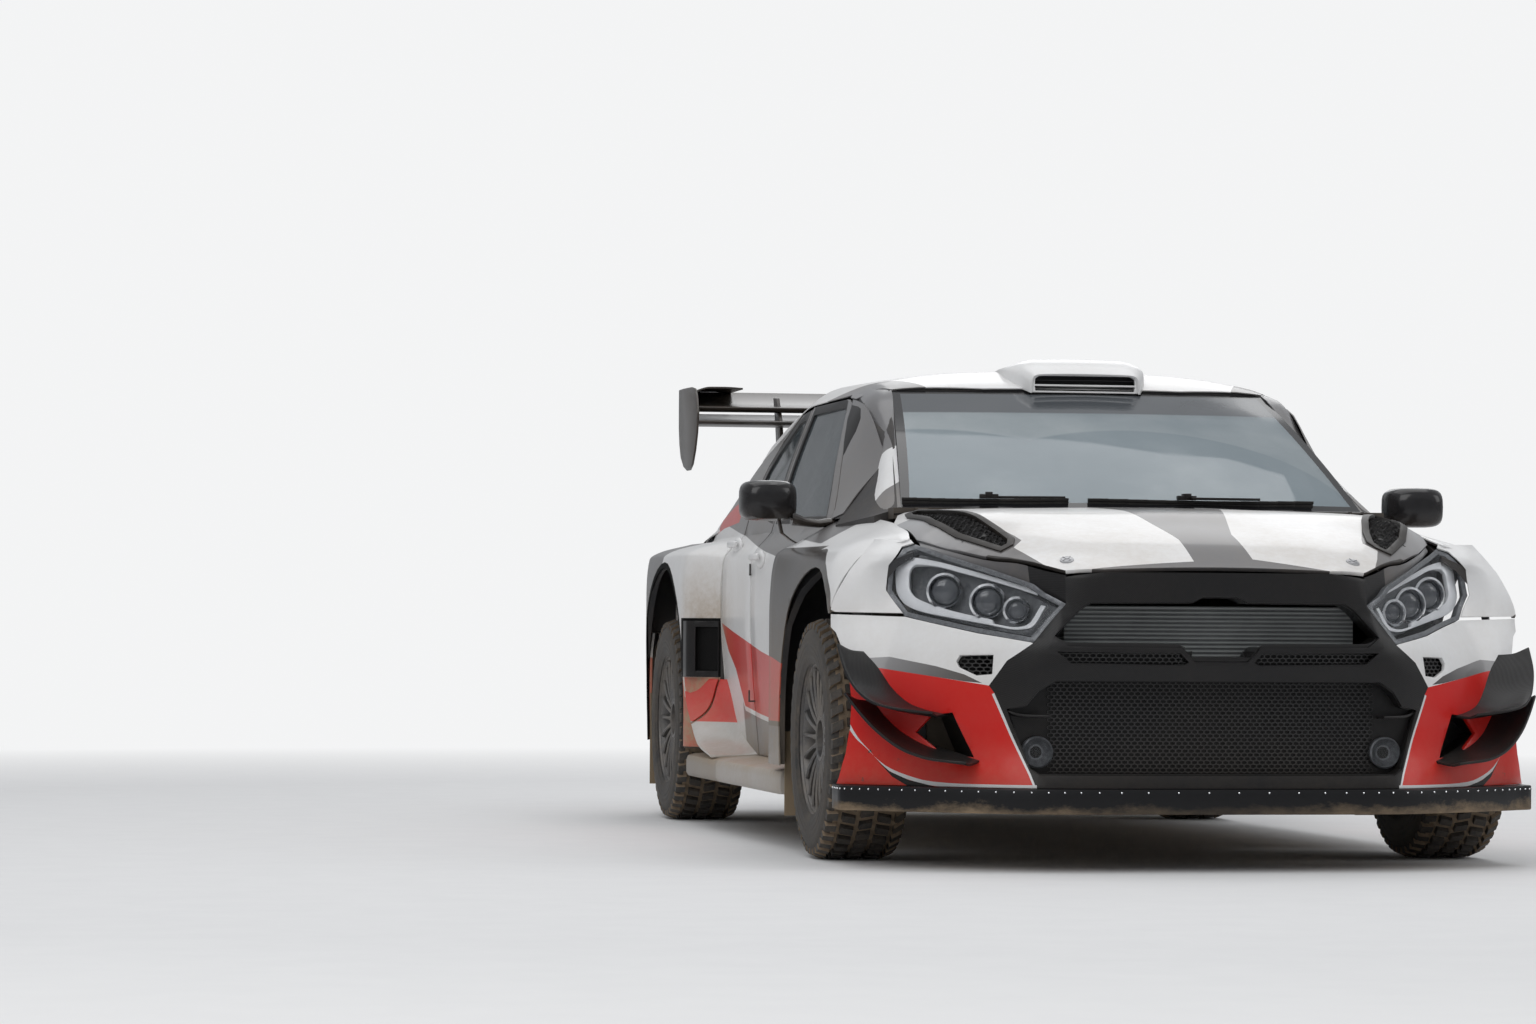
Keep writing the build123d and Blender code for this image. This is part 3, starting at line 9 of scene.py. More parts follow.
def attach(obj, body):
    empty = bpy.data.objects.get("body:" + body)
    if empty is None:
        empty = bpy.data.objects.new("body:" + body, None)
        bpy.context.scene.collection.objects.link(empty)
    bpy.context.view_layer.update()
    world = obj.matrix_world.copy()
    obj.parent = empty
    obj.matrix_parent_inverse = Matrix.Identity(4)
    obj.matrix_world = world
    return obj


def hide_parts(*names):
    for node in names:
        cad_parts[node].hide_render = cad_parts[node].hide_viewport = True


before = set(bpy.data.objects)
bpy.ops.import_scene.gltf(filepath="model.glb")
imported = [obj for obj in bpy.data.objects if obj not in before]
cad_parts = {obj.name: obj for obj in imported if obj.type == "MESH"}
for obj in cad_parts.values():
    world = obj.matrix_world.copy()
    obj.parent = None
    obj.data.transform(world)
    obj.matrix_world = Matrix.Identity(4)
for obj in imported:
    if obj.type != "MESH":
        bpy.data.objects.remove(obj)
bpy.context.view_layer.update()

# Studio: a pale round floor whose edge curves up, an open pale sky, and soft lamps.
# The car stands in its middle with its nose towards -Y.
FULL_TURN = 2 * math.pi
ORIGIN = (0, 0, 0)


class Value:
    """A node socket that takes part in Python sums; numbers alone stay numbers."""

    def __init__(self, material, socket):
        self.material = material
        self.socket = socket

    def sum(self, operation, *others, clamp=False):
        node = self.material.node("Math", operation=operation, use_clamp=clamp)
        for k, other in enumerate(others):
            self.material.feed(node.inputs[k], other)
        return Value(self.material, node.outputs[0])

    def __add__(self, other):
        return self.sum("ADD", self, other)

    def __radd__(self, other):
        return self.sum("ADD", other, self)

    def __sub__(self, other):
        return self.sum("SUBTRACT", self, other)

    def __rsub__(self, other):
        return self.sum("SUBTRACT", other, self)

    def __mul__(self, other):
        return self.sum("MULTIPLY", self, other)

    def __rmul__(self, other):
        return self.sum("MULTIPLY", other, self)

    def most(self, other):
        return self.sum("MAXIMUM", self, other)

    def power(self, other):
        return self.sum("POWER", self, other)

    def size(self):
        return self.sum("ABSOLUTE", self)

    def wave(self, rate):
        """Even ripple from 0 to 1."""
        return self.sum("SINE", self * rate) * 0.5 + 0.5

    def clamp(self):
        return self.sum("ADD", self, 0.0, clamp=True)

    def step(self, soft=0.001):
        """0 below zero and 1 above it, over a band of the given width."""
        return self.sum("MULTIPLY_ADD", self, 1.0 / soft, 0.5, clamp=True)


class Finish:
    """A material: its Principled shader, its Object coordinates, and nodes made on request."""

    def __init__(self, name, **constants):
        self.data = bpy.data.materials.new(name)
        self.data.use_nodes = True
        self.tree = self.data.node_tree
        self.shader = self.tree.nodes["Principled BSDF"]
        self.out(**constants)
        self.place = self.node("TexCoord").outputs["Object"]

    def node(self, kind, inputs=None, stops=(), **settings):
        node = self.tree.nodes.new("ShaderNode" + kind)
        for key, value in settings.items():
            setattr(node, key, value)
        while len(stops) > 2 and len(node.color_ramp.elements) < len(stops):
            node.color_ramp.elements.new(0.5)
        for k, (position, colour) in enumerate(stops):
            node.color_ramp.elements[k].position = position
            node.color_ramp.elements[k].color = (*colour, 1.0)
        for key, value in (inputs or {}).items():
            self.feed(node.inputs[key], value)
        return node

    def feed(self, socket, value):
        if isinstance(value, Value):
            value = value.socket
        if isinstance(value, bpy.types.NodeSocket):
            self.tree.links.new(value, socket)
        elif hasattr(socket.default_value, "__len__"):
            socket.default_value = (tuple(value) + (1.0,))[:len(socket.default_value)]
        else:
            socket.default_value = value

    def axes(self):
        parts = self.node("SeparateXYZ", {0: self.place}).outputs
        return [Value(self, part) for part in parts]

    def noise(self, scale, detail=4.0, rough=0.6, stretch=None):
        place = self.place
        if stretch:
            place = self.node("Mapping", {"Vector": place, "Scale": stretch}).outputs[0]
        inputs = {"Vector": place, "Scale": scale, "Detail": detail, "Roughness": rough}
        return Value(self, self.node("TexNoise", inputs).outputs["Fac"])

    def line(self, along, points):
        """Height of a bent line at a place along it; points are (along, height), in rising order."""
        start, span = points[0][0], points[-1][0] - points[0][0]
        bottom = min(v for u, v in points)
        rise = max(v for u, v in points) - bottom
        stops = [((u - start) / span, ((v - bottom) / rise,) * 3) for u, v in points]
        ramp = self.node("ValToRGB", {"Fac": (along - start) * (1.0 / span)}, stops)
        return Value(self, ramp.outputs["Color"]) * rise + bottom

    def mix(self, share, first, second):
        node = self.node("Mix", data_type="RGBA")
        for key, value in (("Factor", share), ("A", first), ("B", second)):
            self.feed(node.inputs[key], value)
        return node.outputs["Result"]

    def bump(self, height, strength=0.3, distance=0.002):
        node = self.node("Bump", {"Strength": strength, "Distance": distance, "Height": height})
        self.tree.links.new(node.outputs[0], self.shader.inputs["Normal"])

    def out(self, **links):
        for socket, value in links.items():
            self.feed(self.shader.inputs[socket.replace("_", " ")], value)
        return self.data


def placed(name, data):
    """New object in the scene."""
    made = bpy.data.objects.new(name, data)
    bpy.context.scene.collection.objects.link(made)
    return made


def mesh_of(name, bm, materials=()):
    """Mesh taken from a bmesh, with its materials."""
    mesh = bpy.data.meshes.new(name)
    bm.to_mesh(mesh)
    bm.free()
    for material in materials:
        mesh.materials.append(material)
    return mesh


def lathe(bm, points, axis, steps):
    """Turns a line of points about an axis through the origin; returns the line."""
    loop = [bm.verts.new(p) for p in points]
    edges = [bm.edges.new(pair) for pair in zip(loop, loop[1:])]
    bmesh.ops.spin(bm, geom=loop + edges, cent=ORIGIN, axis=axis, angle=FULL_TURN, steps=steps, use_merge=True)
    return loop


world = bpy.data.worlds.new("studio_air")
world.use_nodes = True
air = world.node_tree
sky_place = air.nodes.new("ShaderNodeTexCoord")
sky_parts = air.nodes.new("ShaderNodeSeparateXYZ")
sky_ramp = air.nodes.new("ShaderNodeValToRGB")
air.links.new(sky_place.outputs["Generated"], sky_parts.inputs[0])
air.links.new(sky_parts.outputs[2], sky_ramp.inputs[0])
for k, (position, colour) in enumerate(((0.0, (0.62, 0.65, 0.69, 1.0)), (0.45, (0.95, 0.97, 1.0, 1.0)))):
    sky_ramp.color_ramp.elements[k].position = position
    sky_ramp.color_ramp.elements[k].color = colour
air.links.new(sky_ramp.outputs[0], air.nodes["Background"].inputs["Color"])
air.nodes["Background"].inputs["Strength"].default_value = 0.55
bpy.context.scene.world = world

FLOOR_CURVE = [(0.0, 0.0), (14.0, 0.0), (19.0, 0.25), (22.0, 1.3), (23.5, 3.5), (24.0, 6.5)]
bm = bmesh.new()
lathe(bm, [(r, 0.0, z) for r, z in FLOOR_CURVE], (0, 0, 1), 64)
bmesh.ops.remove_doubles(bm, verts=bm.verts, dist=0.0005)
bmesh.ops.recalc_face_normals(bm, faces=bm.faces)
if sum(f.normal.z for f in bm.faces) < 0:
    bmesh.ops.reverse_faces(bm, faces=bm.faces)
floor_paint = Finish("floor_paint", Roughness=0.9)
floor_mesh = mesh_of("studio_floor", bm, [floor_paint.data])
floor_mesh.shade_smooth()
studio_floor = placed("studio_floor", floor_mesh)
floor_paint.out(Base_Color=floor_paint.mix(floor_paint.noise(6.0, 6.0), (0.70, 0.70, 0.705), (0.76, 0.76, 0.76)))
x, y, z = floor_paint.axes()
away = (((x * x + y * y).power(0.5) - 5.0) * 0.2).clamp()
seen = floor_paint.node("LightPath").outputs["Is Camera Ray"]
white_air = floor_paint.node("Emission", {"Color": (0.90, 0.905, 0.91), "Strength": 1.0})
blend = floor_paint.node("MixShader")
floor_paint.feed(blend.inputs["Fac"], away * Value(floor_paint, seen))
floor_paint.tree.links.new(floor_paint.shader.outputs[0], blend.inputs[1])
floor_paint.tree.links.new(white_air.outputs[0], blend.inputs[2])
ending = next(n for n in floor_paint.tree.nodes if n.bl_idname == "ShaderNodeOutputMaterial")
floor_paint.tree.links.new(blend.outputs[0], ending.inputs["Surface"])

for lamp_name, place, aim, width, power in (
    ("key_lamp", (-5.0, -8.0, 7.0), (0.0, -0.8, 0.6), 6.0, 250.0),
    ("top_lamp", (0.0, 0.5, 8.0), (0.0, 0.3, 0.6), 8.0, 260.0),
    ("side_lamp", (7.5, -4.0, 4.5), (0.0, 0.0, 0.5), 4.0, 90.0),
    ("back_lamp", (3.0, 9.0, 6.0), (0.0, 0.0, 0.8), 5.0, 110.0),
):
    lamp = bpy.data.lights.new(lamp_name, "AREA")
    lamp.size = width
    lamp.energy = power
    lamp_object = placed(lamp_name, lamp)
    lamp_object.location = place
    lamp_object.rotation_mode = "QUATERNION"
    lamp_object.rotation_quaternion = (Vector(aim) - Vector(place)).to_track_quat("-Z", "Y")

# Camera: low in front of the car's right corner, through a long lens, as the photograph was taken.
CAMERA_PLACE = (-3.197, -13.505, 0.618)
YAW, PITCH, ROLL = (math.radians(angle) for angle in (9.96, 1.43, 0.362))
ahead = Vector((math.sin(YAW) * math.cos(PITCH), math.cos(YAW) * math.cos(PITCH), math.sin(PITCH)))
level = Vector((math.cos(YAW), -math.sin(YAW), 0.0))
upward = level.cross(ahead)
across = level * math.cos(ROLL) + upward * math.sin(ROLL)
upright = upward * math.cos(ROLL) - level * math.sin(ROLL)
camera_data = bpy.data.cameras.new("camera")
camera_data.lens = 108.70
camera_data.sensor_width = 36.0
camera = placed("camera", camera_data)
camera.matrix_world = Matrix.Translation(CAMERA_PLACE) @ Matrix((across, upright, -ahead)).transposed().to_4x4()
bpy.context.scene.camera = camera
bpy.context.scene.view_settings.view_transform = "Standard"

# Body side: pressed steel skin of the doors and rear quarter, painted white with red and grey fields.
# Doors hang on hinge pins at their front edges; the quarter carries the roof and the wide rear arch.
# Outlines on the side are (along, up), on the nose and tail (across, up), on bonnet and roof (across, along).
SIDE, NOSE, PLAN = (1, 2), (0, 2), (0, 1)


def mm(table):
    """Lengths written in millimetres, as metres."""
    return [mm(item) for item in table] if isinstance(table, (list, tuple)) else table / 1000


def front(s):
    """Place along the car, s behind the front axle."""
    return s - 1.26


def rear(r):
    """Place along the car, r behind the rear axle."""
    return r + 1.31


HALF_WIDTH = 0.9375
SIDE_LEVELS = mm((172, 450, 660, 820, 905))
SIDE_ROWS = mm(((-780, (142, 120, 108, 116, 166), (624, 1090)), (-460, (137, 112, 103, 108, 162),
    (630, 1262)), (-250, (137, 112, 100, 105, 162), (636, 1284)), (235, (137, 112, 100, 104, 164),
    (646, 1282)), (750, (137, 112, 98, 102, 170), (642, 1212)), (1140, (137, 108, 92, 104, 190),
    (646, 1142)), (1640, (157, 118, 98, 120, 222), (664, 1000)), (1910, (197, 158, 148, 176, 270),
    (642, 940))))
FRONT_DOOR = mm([(-660, 236), (227, 236), (227, 1284), (-250, 1288), (-325, 1272), (-660, 947)])
REAR_DOOR = mm([(241, 236), (739, 236), (739, 905), (804, 1010), (790, 1120), (690, 1190), (400, 1268),
    (241, 1276)])
FRONT_WINDOW = mm([(-592, 935), (173, 949), (173, 1256), (-250, 1260), (-302, 1248)])
REAR_WINDOW = mm([(285, 951), (700, 995), (754, 1040), (730, 1105), (650, 1160), (400, 1240), (285, 1248)])
QUARTER = mm([(-780, 939), (240, 800), (710, 240), (1850, 400), (1910, 700), (1910, 1500), (-780, 1500)])
DOOR_HOLE = mm([(-668, 230), (748, 230), (748, 905), (813, 1008), (799, 1124), (696, 1198), (400, 1276),
    (234, 1288), (-250, 1296), (-330, 1279), (-668, 952)])


def flow(points, places, steps):
    """Smooth line through points (n, ...) at rising places, read at steps per span; never swings past a point."""
    points = np.asarray(points, float)
    gaps = np.diff(np.asarray(places, float)).reshape((-1,) + (1,) * (points.ndim - 1))
    rates = np.diff(points, axis=0) / gaps
    tilt = np.zeros_like(points)
    tilt[0], tilt[-1] = rates[0], rates[-1]
    if len(points) > 2:
        before, after = rates[:-1], rates[1:]
        first = 2 * gaps[1:] + gaps[:-1]
        second = gaps[1:] + 2 * gaps[:-1]
        good = before * after > 1e-12
        bottom = np.where(good, first * after + second * before, 1.0)
        tilt[1:-1] = np.where(good, (first + second) * before * after / bottom, 0.0)
    line = [points[0]]
    for k in range(len(points) - 1):
        for step in range(1, steps + 1):
            t = step / steps
            line.append((1 + 2 * t) * (1 - t) ** 2 * points[k] + t * (1 - t) ** 2 * gaps[k] * tilt[k]
                        + t * t * (3 - 2 * t) * points[k + 1] - t * t * (1 - t) * gaps[k] * tilt[k + 1])
    return np.array(line)


def sheet(bm, rows, down=4, across=4):
    """Smooth sheet through a table of points, laid on a grid of faces."""
    table = np.asarray(rows, float)
    for steps in (down, across):
        lengths = np.linalg.norm(np.diff(table, axis=0), axis=2).mean(axis=1)
        places = np.concatenate(([0.0], np.cumsum(np.maximum(lengths, 1e-4))))
        table = flow(table, places, steps).transpose(1, 0, 2)
    high, wide = table.shape[:2]
    made = bmesh.ops.create_grid(bm, x_segments=wide - 1, y_segments=high - 1, size=1.0)["verts"]
    made.sort(key=lambda v: (round(v.co.y, 5), round(v.co.x, 5)))
    for vert, place in zip(made, table.reshape(-1, 3)):
        vert.co = place


def inside(outline, u, v):
    """Whether the point lies in the closed outline."""
    odd = False
    for (u0, v0), (u1, v1) in zip(outline, outline[1:] + outline[:1]):
        if (v0 > v) != (v1 > v) and u < u0 + (v - v0) / (v1 - v0) * (u1 - u0):
            odd = not odd
    return odd


def cut(bm, outline, view, mode):
    """Cuts a sheet along an outline and keeps or holes what lies in it, or gives that another material."""
    a, b = view
    margin = 1e-4
    for (u0, v0), (u1, v1) in zip(outline, outline[1:] + outline[:1]):
        near = set()
        for face in bm.faces:
            us = [v.co[a] for v in face.verts]
            vs = [v.co[b] for v in face.verts]
            if (max(us) > min(u0, u1) - margin and min(us) < max(u0, u1) + margin
                    and max(vs) > min(v0, v1) - margin and min(vs) < max(v0, v1) + margin):
                near.update((face, *face.edges, *face.verts))
        place, turn = Vector(ORIGIN), Vector(ORIGIN)
        place[a], place[b] = u0, v0
        turn[a], turn[b] = v1 - v0, u0 - u1
        if near and turn.length > 1e-6:
            bmesh.ops.bisect_plane(bm, geom=list(near), dist=2e-5, plane_co=place, plane_no=turn.normalized())
    within = {}
    for face in bm.faces:
        middle = face.calc_center_median()
        within[face] = inside(outline, middle[a], middle[b])
    if mode in ("keep", "hole"):
        gone = [face for face in bm.faces if within[face] == (mode == "hole")]
        bmesh.ops.delete(bm, geom=gone, context="FACES")
    else:
        for face in bm.faces:
            if within[face]:
                face.material_index = mode


def drawn(draw, *cuts, move=None):
    """New bmesh with a sheet in it, cut by (outline, view, mode) in turn, then moved."""
    bm = bmesh.new()
    draw(bm)
    for outline, view, mode in cuts:
        cut(bm, outline, view, mode)
    if move:
        bmesh.ops.translate(bm, vec=move, verts=bm.verts)
    return bm


def built(name, bm, materials, towards=None, thick=0.0, soft=0.0, back=0, sharp=35, thin_above=None):
    """Object from a bmesh: faces turned outward, thickened inward, edges softened, modifiers taken into the mesh."""
    bmesh.ops.remove_doubles(bm, verts=bm.verts, dist=0.0002)
    bmesh.ops.dissolve_degenerate(bm, dist=0.0001, edges=bm.edges)
    bmesh.ops.recalc_face_normals(bm, faces=bm.faces)
    if towards and sum(f.normal.dot(Vector(towards)) * f.calc_area() for f in bm.faces) < 0:
        bmesh.ops.reverse_faces(bm, faces=bm.faces)
    mesh = mesh_of(name, bm, materials)
    made = placed(name, mesh)
    if thick:
        shell = made.modifiers.new("thickness", "SOLIDIFY")
        shell.thickness = thick
        shell.offset = -1.0
        shell.use_even_offset = True
        shell.material_offset = back
        if thin_above:
            level, share = thin_above
            group = made.vertex_groups.new(name="deep")
            for vert in mesh.vertices:
                group.add([vert.index], 1.0 if vert.co.z < level else share, "REPLACE")
            shell.vertex_group = "deep"
    if soft:
        edge = made.modifiers.new("edge", "BEVEL")
        edge.width = soft
        edge.segments = 2
        edge.limit_method = "ANGLE"
        edge.angle_limit = math.radians(50)
    if thick or soft:
        view = bpy.context.evaluated_depsgraph_get()
        view.update()
        made.data = bpy.data.meshes.new_from_object(made.evaluated_get(view))
        made.data.name = name
        made.modifiers.clear()
        made.vertex_groups.clear()
        bpy.data.meshes.remove(mesh)
    made.data.shade_smooth()
    made.data.set_sharp_from_angle(angle=math.radians(sharp))
    return made


def twin(made):
    """The same piece on the car's other side."""
    bm = bmesh.new()
    bm.from_mesh(made.data)
    bmesh.ops.scale(bm, vec=(-1, 1, 1), verts=bm.verts)
    bmesh.ops.reverse_faces(bm, faces=bm.faces)
    name = made.name.replace("_left", "_right")
    mesh = mesh_of(name, bm, made.data.materials)
    mesh.set_sharp_from_angle(angle=math.radians(35))
    return placed(name, mesh)


def put(piece, body, node=None):
    """Says which body a piece rides, and the solid that it replaces."""
    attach(piece, body)
    if node:
        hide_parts(node)


def put_pair(part, body, node=None):
    """Puts a left piece and its twin; {} stands for the side, and a node without it goes to the left one."""
    for side, piece in (("left", part), ("right", twin(part))):
        own = node and (side == "left" or "{}" in node)
        put(piece, body.format(side), node.format(side) if own else None)


def side_sheet(bm):
    """The whole body side on +X: from the sill to the belt, a crease, then up to the roof edge."""
    sheet(bm, [[(HALF_WIDTH - inset, y, z) for inset, z in zip(insets, SIDE_LEVELS)]
               for y, insets, top in SIDE_ROWS], 5, 4)
    bulge = 0.008
    belt = SIDE_LEVELS[-1]
    upper = []
    for y, insets, (x, z) in SIDE_ROWS:
        low = HALF_WIDTH - insets[-1]
        upper.append([(low, y, belt), ((low + x) / 2 + bulge, y, (belt + z) / 2), (x, y, z)])
    sheet(bm, upper, 5, 5)


WHITE = (0.76, 0.765, 0.77)
GREY = (0.135, 0.137, 0.145)
RED = (0.58, 0.006, 0.005)
BLACK = (0.009, 0.009, 0.010)
DUST = (0.36, 0.27, 0.175)


def lacquer(name, coat=0.3, rough=0.12, specular=0.3):
    return Finish(name, Coat_Weight=coat, Coat_Roughness=rough, Specular_IOR_Level=specular)


def dusty(f, colour, share, rough=0.28):
    """Road dust over a finish: more where share is high, broken up by a cloudy and a fine noise."""
    cloud = f.noise(3.5, 5.0, 0.62)
    fine = f.noise(55.0, 3.0, 0.7)
    level = (share * (cloud * 1.5 + fine * 0.8 - 0.55)).clamp()
    f.bump(fine * level, 0.35, 0.0015)
    return f.out(Base_Color=f.mix(level, colour, DUST), Roughness=(level * 0.55 + rough).clamp())


def grained(name, scale, detail, dark, light, rough=None, **constants):
    """Finish whose colour, and roughness as (span, least), follow one noise; returns it with the noise."""
    f = Finish(name, **constants)
    grain = f.noise(scale, detail)
    f.out(Base_Color=f.mix(grain, dark, light))
    if rough:
        f.out(Roughness=grain * rough[0] + rough[1])
    return f, grain


side_paint = lacquer("side_paint")
x, y, z = side_paint.axes()
grey_line = side_paint.line(y, mm([(-860, 772), (106, 849), (708, 903), (1910, 990)]))
red_top = side_paint.line(y, mm([(-960, 455), (66, 548), (528, 604), (739, 632)]))
red_low = side_paint.line(y, mm([(-960, 300), (138, 360), (409, 380), (530, 490), (640, 545), (739, 632)]))
field = side_paint.mix((z - grey_line).step(), WHITE, GREY)
field = side_paint.mix((1 - (z - red_top).step()) * (z - red_low).step(), field, RED)
ahead_of_step = (front(1.70) - y).step(0.02)
field = side_paint.mix((red_low - z - 0.014).step() * ahead_of_step, field, GREY)
low_dust = (z * -2.1 + 1.12).clamp().power(1.6) * 1.15 + 0.17
arch_spray = ((y - rear(-0.80)) * 4.2).clamp() * (z * -3.0 + 2.75).clamp() * ((z - 0.40) * 6.0).clamp()
side_material = dusty(side_paint, field, low_dust + arch_spray * 0.55)
trim_paint = Finish("black_trim", Specular_IOR_Level=0.25)
x, y, z = trim_paint.axes()
trim_material = dusty(trim_paint, BLACK, (z * -0.9 + 0.95).clamp() * 0.3 + 0.01, 0.42)
inner_paint, weave = grained("door_inside", 240.0, 2.0, (0.02, 0.02, 0.022), (0.045, 0.045, 0.048), (0.3, 0.5),
                             Specular_IOR_Level=0.3)
inner_paint.bump(weave, 0.2, 0.0008)
inner_material = inner_paint.data
glass_paint = Finish("side_glass", IOR=1.5, Coat_Weight=0.0)
haze = glass_paint.noise(7.0, 6.0, 0.65)
glass_material = glass_paint.out(Base_Color=glass_paint.mix(haze, (0.055, 0.07, 0.08), (0.10, 0.12, 0.13)),
                                 Alpha=(haze * 0.25 + 0.62).clamp(), Roughness=haze * 0.15 + 0.02)

for door, outline, window, glass in (("front_door", FRONT_DOOR, FRONT_WINDOW, "front_glass"),
                                     ("rear_door", REAR_DOOR, REAR_WINDOW, "rear_glass")):
    surround = [(u + (0.030 if u > window[0][0] + 0.2 else -0.030), v + (0.030 if v > 1.1 else -0.020))
                for u, v in window]
    bm = drawn(side_sheet, (outline, SIDE, "keep"), (surround, SIDE, 1), (window, SIDE, "hole"))
    skin = built(door + "_skin_left", bm, [side_material, trim_material, inner_material], (1, 0, 0), thick=0.055,
                 soft=0.0025, back=2, thin_above=(0.93, 0.4))
    bm = drawn(side_sheet, (window, SIDE, "keep"), move=(-0.006, 0, 0))
    pane = built(glass + "_pane_left", bm, [glass_material], (1, 0, 0), thick=0.004)
    put_pair(skin, door + "_{}", door + "_{}")
    put_pair(pane, door + "_{}", glass + "_{}")

# Shell skins: rear quarters, roof, screen posts and wide rear arches, pressed steel and composite in white paint.
# They are riveted and welded over the plain inner structure, which shows dark in the door openings.
AXLE_HEIGHT = 0.385


def circle(u, v, radius, count=40):
    steps = [FULL_TURN * k / count for k in range(count)]
    return [(u + radius * math.cos(a), v + radius * math.sin(a)) for a in steps]


REAR_ARCH = circle(rear(0.0), AXLE_HEIGHT, 0.420)
RED_PATCH = mm([(1010, 952), (1410, 940), (1590, 925), (1610, 975), (1330, 1010), (1050, 1030)])
red_material = dusty(lacquer("quarter_red"), RED, 0.15)
bm = drawn(side_sheet, (QUARTER, SIDE, "keep"), (DOOR_HOLE, SIDE, "hole"), (REAR_ARCH, SIDE, "hole"),
           move=(0.0015, 0, 0.0005))
cut(bm, RED_PATCH, SIDE, 1)
shell_parts = [built("quarter_left", bm, [side_material, red_material], (1, 0, 0), thick=0.003)]

POST_ROWS = mm([[(652, -1114, 946), (690, -1102, 938), (716, -1100, 914), (742, -1100, 880)],
    [(627.5, -960, 1029), (662, -948, 1012), (704, -948, 955), (748, -948, 890)], [(599, -780, 1127),
    (625, -775, 1108), (668, -775, 1030), (765, -775, 890)], [(580, -660, 1192), (606, -655, 1176),
    (648, -655, 1100), (774, -655, 890)], [(548, -460, 1303), (592, -460, 1292), (632, -460, 1258),
    (786, -460, 890)], [(530, -300, 1336), (594, -300, 1312), (636, -300, 1280), (786, -300, 890)]])
POST_OUTLINE = mm([(-1260, 918), (-640, 922), (-640, 960), (-310, 1290), (-295, 1500), (-1260, 1500)])
POST_BAND = mm([(-1005, 905), (-640, 905), (-640, 970), (-305, 1300), (-460, 1262), (-630, 1115)])
POST_PANE = mm([(-960, 915), (-685, 915), (-685, 975), (-600, 1080), (-625, 1088)])
post_paint = lacquer("post_paint")
x, y, z = post_paint.axes()
from_spot = ((y - front(0.42)) * (y - front(0.42)) + (z - 1.02) * (z - 1.02)).power(0.5)
tone = post_paint.mix((0.13 - from_spot).step(), GREY, WHITE)
post_material = dusty(post_paint, tone, (1.2 - z).clamp() * 0.5 + 0.1)
bm = drawn(lambda bm: sheet(bm, POST_ROWS, 5, 5), (DOOR_HOLE, SIDE, "hole"), (POST_OUTLINE, SIDE, "keep"),
           (POST_BAND, SIDE, 1), (POST_PANE, SIDE, 2))
post = built("post_left", bm, [post_material, trim_material, glass_material], (1, -0.3, 0.4), thick=0.003)
shell_parts.append(post)

ROOF_ROWS = mm(((-545, 1306, (300, 1296), (566, 1256), (612, 1222)), (-460, 1338, (300, 1328), (556, 1302),
    (630, 1264)), (-250, 1376, (300, 1366), (542, 1334), (636, 1288)), (235, 1381, (300, 1372), (560, 1343),
    (646, 1288)), (750, 1333, (300, 1322), (584, 1284), (642, 1216)), (1119, 1262, (300, 1250), (600, 1211),
    (646, 1150))))
ROOF_PLAN = mm([(-10, -538), (290, -518), (548, -460), (575, -400), (700, -330), (700, 1130), (-10, 1118)])
roof_paint = lacquer("roof_paint")
x, y, z = roof_paint.axes()
corner = (x.size() + (y - front(0.8)) * -0.35 - 0.46).step()
roof_material = dusty(roof_paint, roof_paint.mix(corner, WHITE, (0.15, 0.153, 0.162)), 0.22)
roof_rows = [[(0.0, y, top)] + [(u, y, w) for u, w in rest] for y, top, *rest in ROOF_ROWS]
bm = drawn(lambda bm: sheet(bm, roof_rows, 6, 6), (ROOF_PLAN, PLAN, "keep"), (DOOR_HOLE, SIDE, "hole"))
bmesh.ops.mirror(bm, geom=bm.verts[:] + bm.edges[:] + bm.faces[:], axis="X", merge_dist=0.0005)
bmesh.ops.translate(bm, vec=(0, 0, 0.0015), verts=bm.verts)
roof = built("roof_skin", bm, [roof_material], (0, 0, 1), thick=0.003)

FLARE_ROWS = mm(((752, 98, 850), (880, 0, 857), (1640, 0, 857), (1780, 28, 850), (1885, 120, 836)))
FLARE_OUTLINE = mm([(739, 234), (1810, 234), (1885.1, 500), (1885.1, 1000), (739, 1000)])
DUCT_FRAME = mm([(690, 458), (910, 458), (915, 642), (690, 642)])
DUCT_HOLE = mm([(705, 470), (810, 466), (810, 628), (705, 622)])
DUCT_PLATE = mm([(698, 462), (820, 462), (820, 634), (698, 634)])
flare_paint = lacquer("flare_paint")
x, y, z = flare_paint.axes()
back_line = flare_paint.line(z, mm([(600, 1440), (765, 1410), (785, 1395), (830, 1355), (900, 1340)]))
tone = flare_paint.mix((y - back_line).step(), WHITE, GREY)
curve = flare_paint.line(z, mm([(200, 410), (255, 633), (327, 739), (402, 855), (470, 874)]))
red_part = (0.462 - z).step() * (rear(0.0) - y).step()
tone = flare_paint.mix(red_part, tone, RED)
tone = flare_paint.mix((0.006 - (y - curve).size()).step() * red_part, tone, WHITE)
spray = ((rear(-0.36) - y) * 7.0).clamp() * (z * -3.0 + 2.70).clamp()
low_dust = (0.78 - z).clamp() * 1.3 + (y - rear(0.3)).clamp() * 1.6
flare_material = dusty(flare_paint, tone, low_dust + spray * 0.8 + 0.12)
duct_material = grained("duct_black", 200.0, 2.0, (0.006, 0.006, 0.006), (0.014, 0.014, 0.014), (0.3, 0.6),
                        Specular_IOR_Level=0.05)[0].data


def flare_sheet(bm):
    rows = []
    for y, inset, top in FLARE_ROWS:
        x = HALF_WIDTH - inset
        rows.append([(x - 0.006, y, 0.240), (x, y, 0.420), (x, y, top - 0.130), (x - 0.010, y, top - 0.020),
                     (x - 0.040, y, top + 0.001), (HALF_WIDTH - 0.150, y, top + 0.030)])
    sheet(bm, rows, 6, 5)


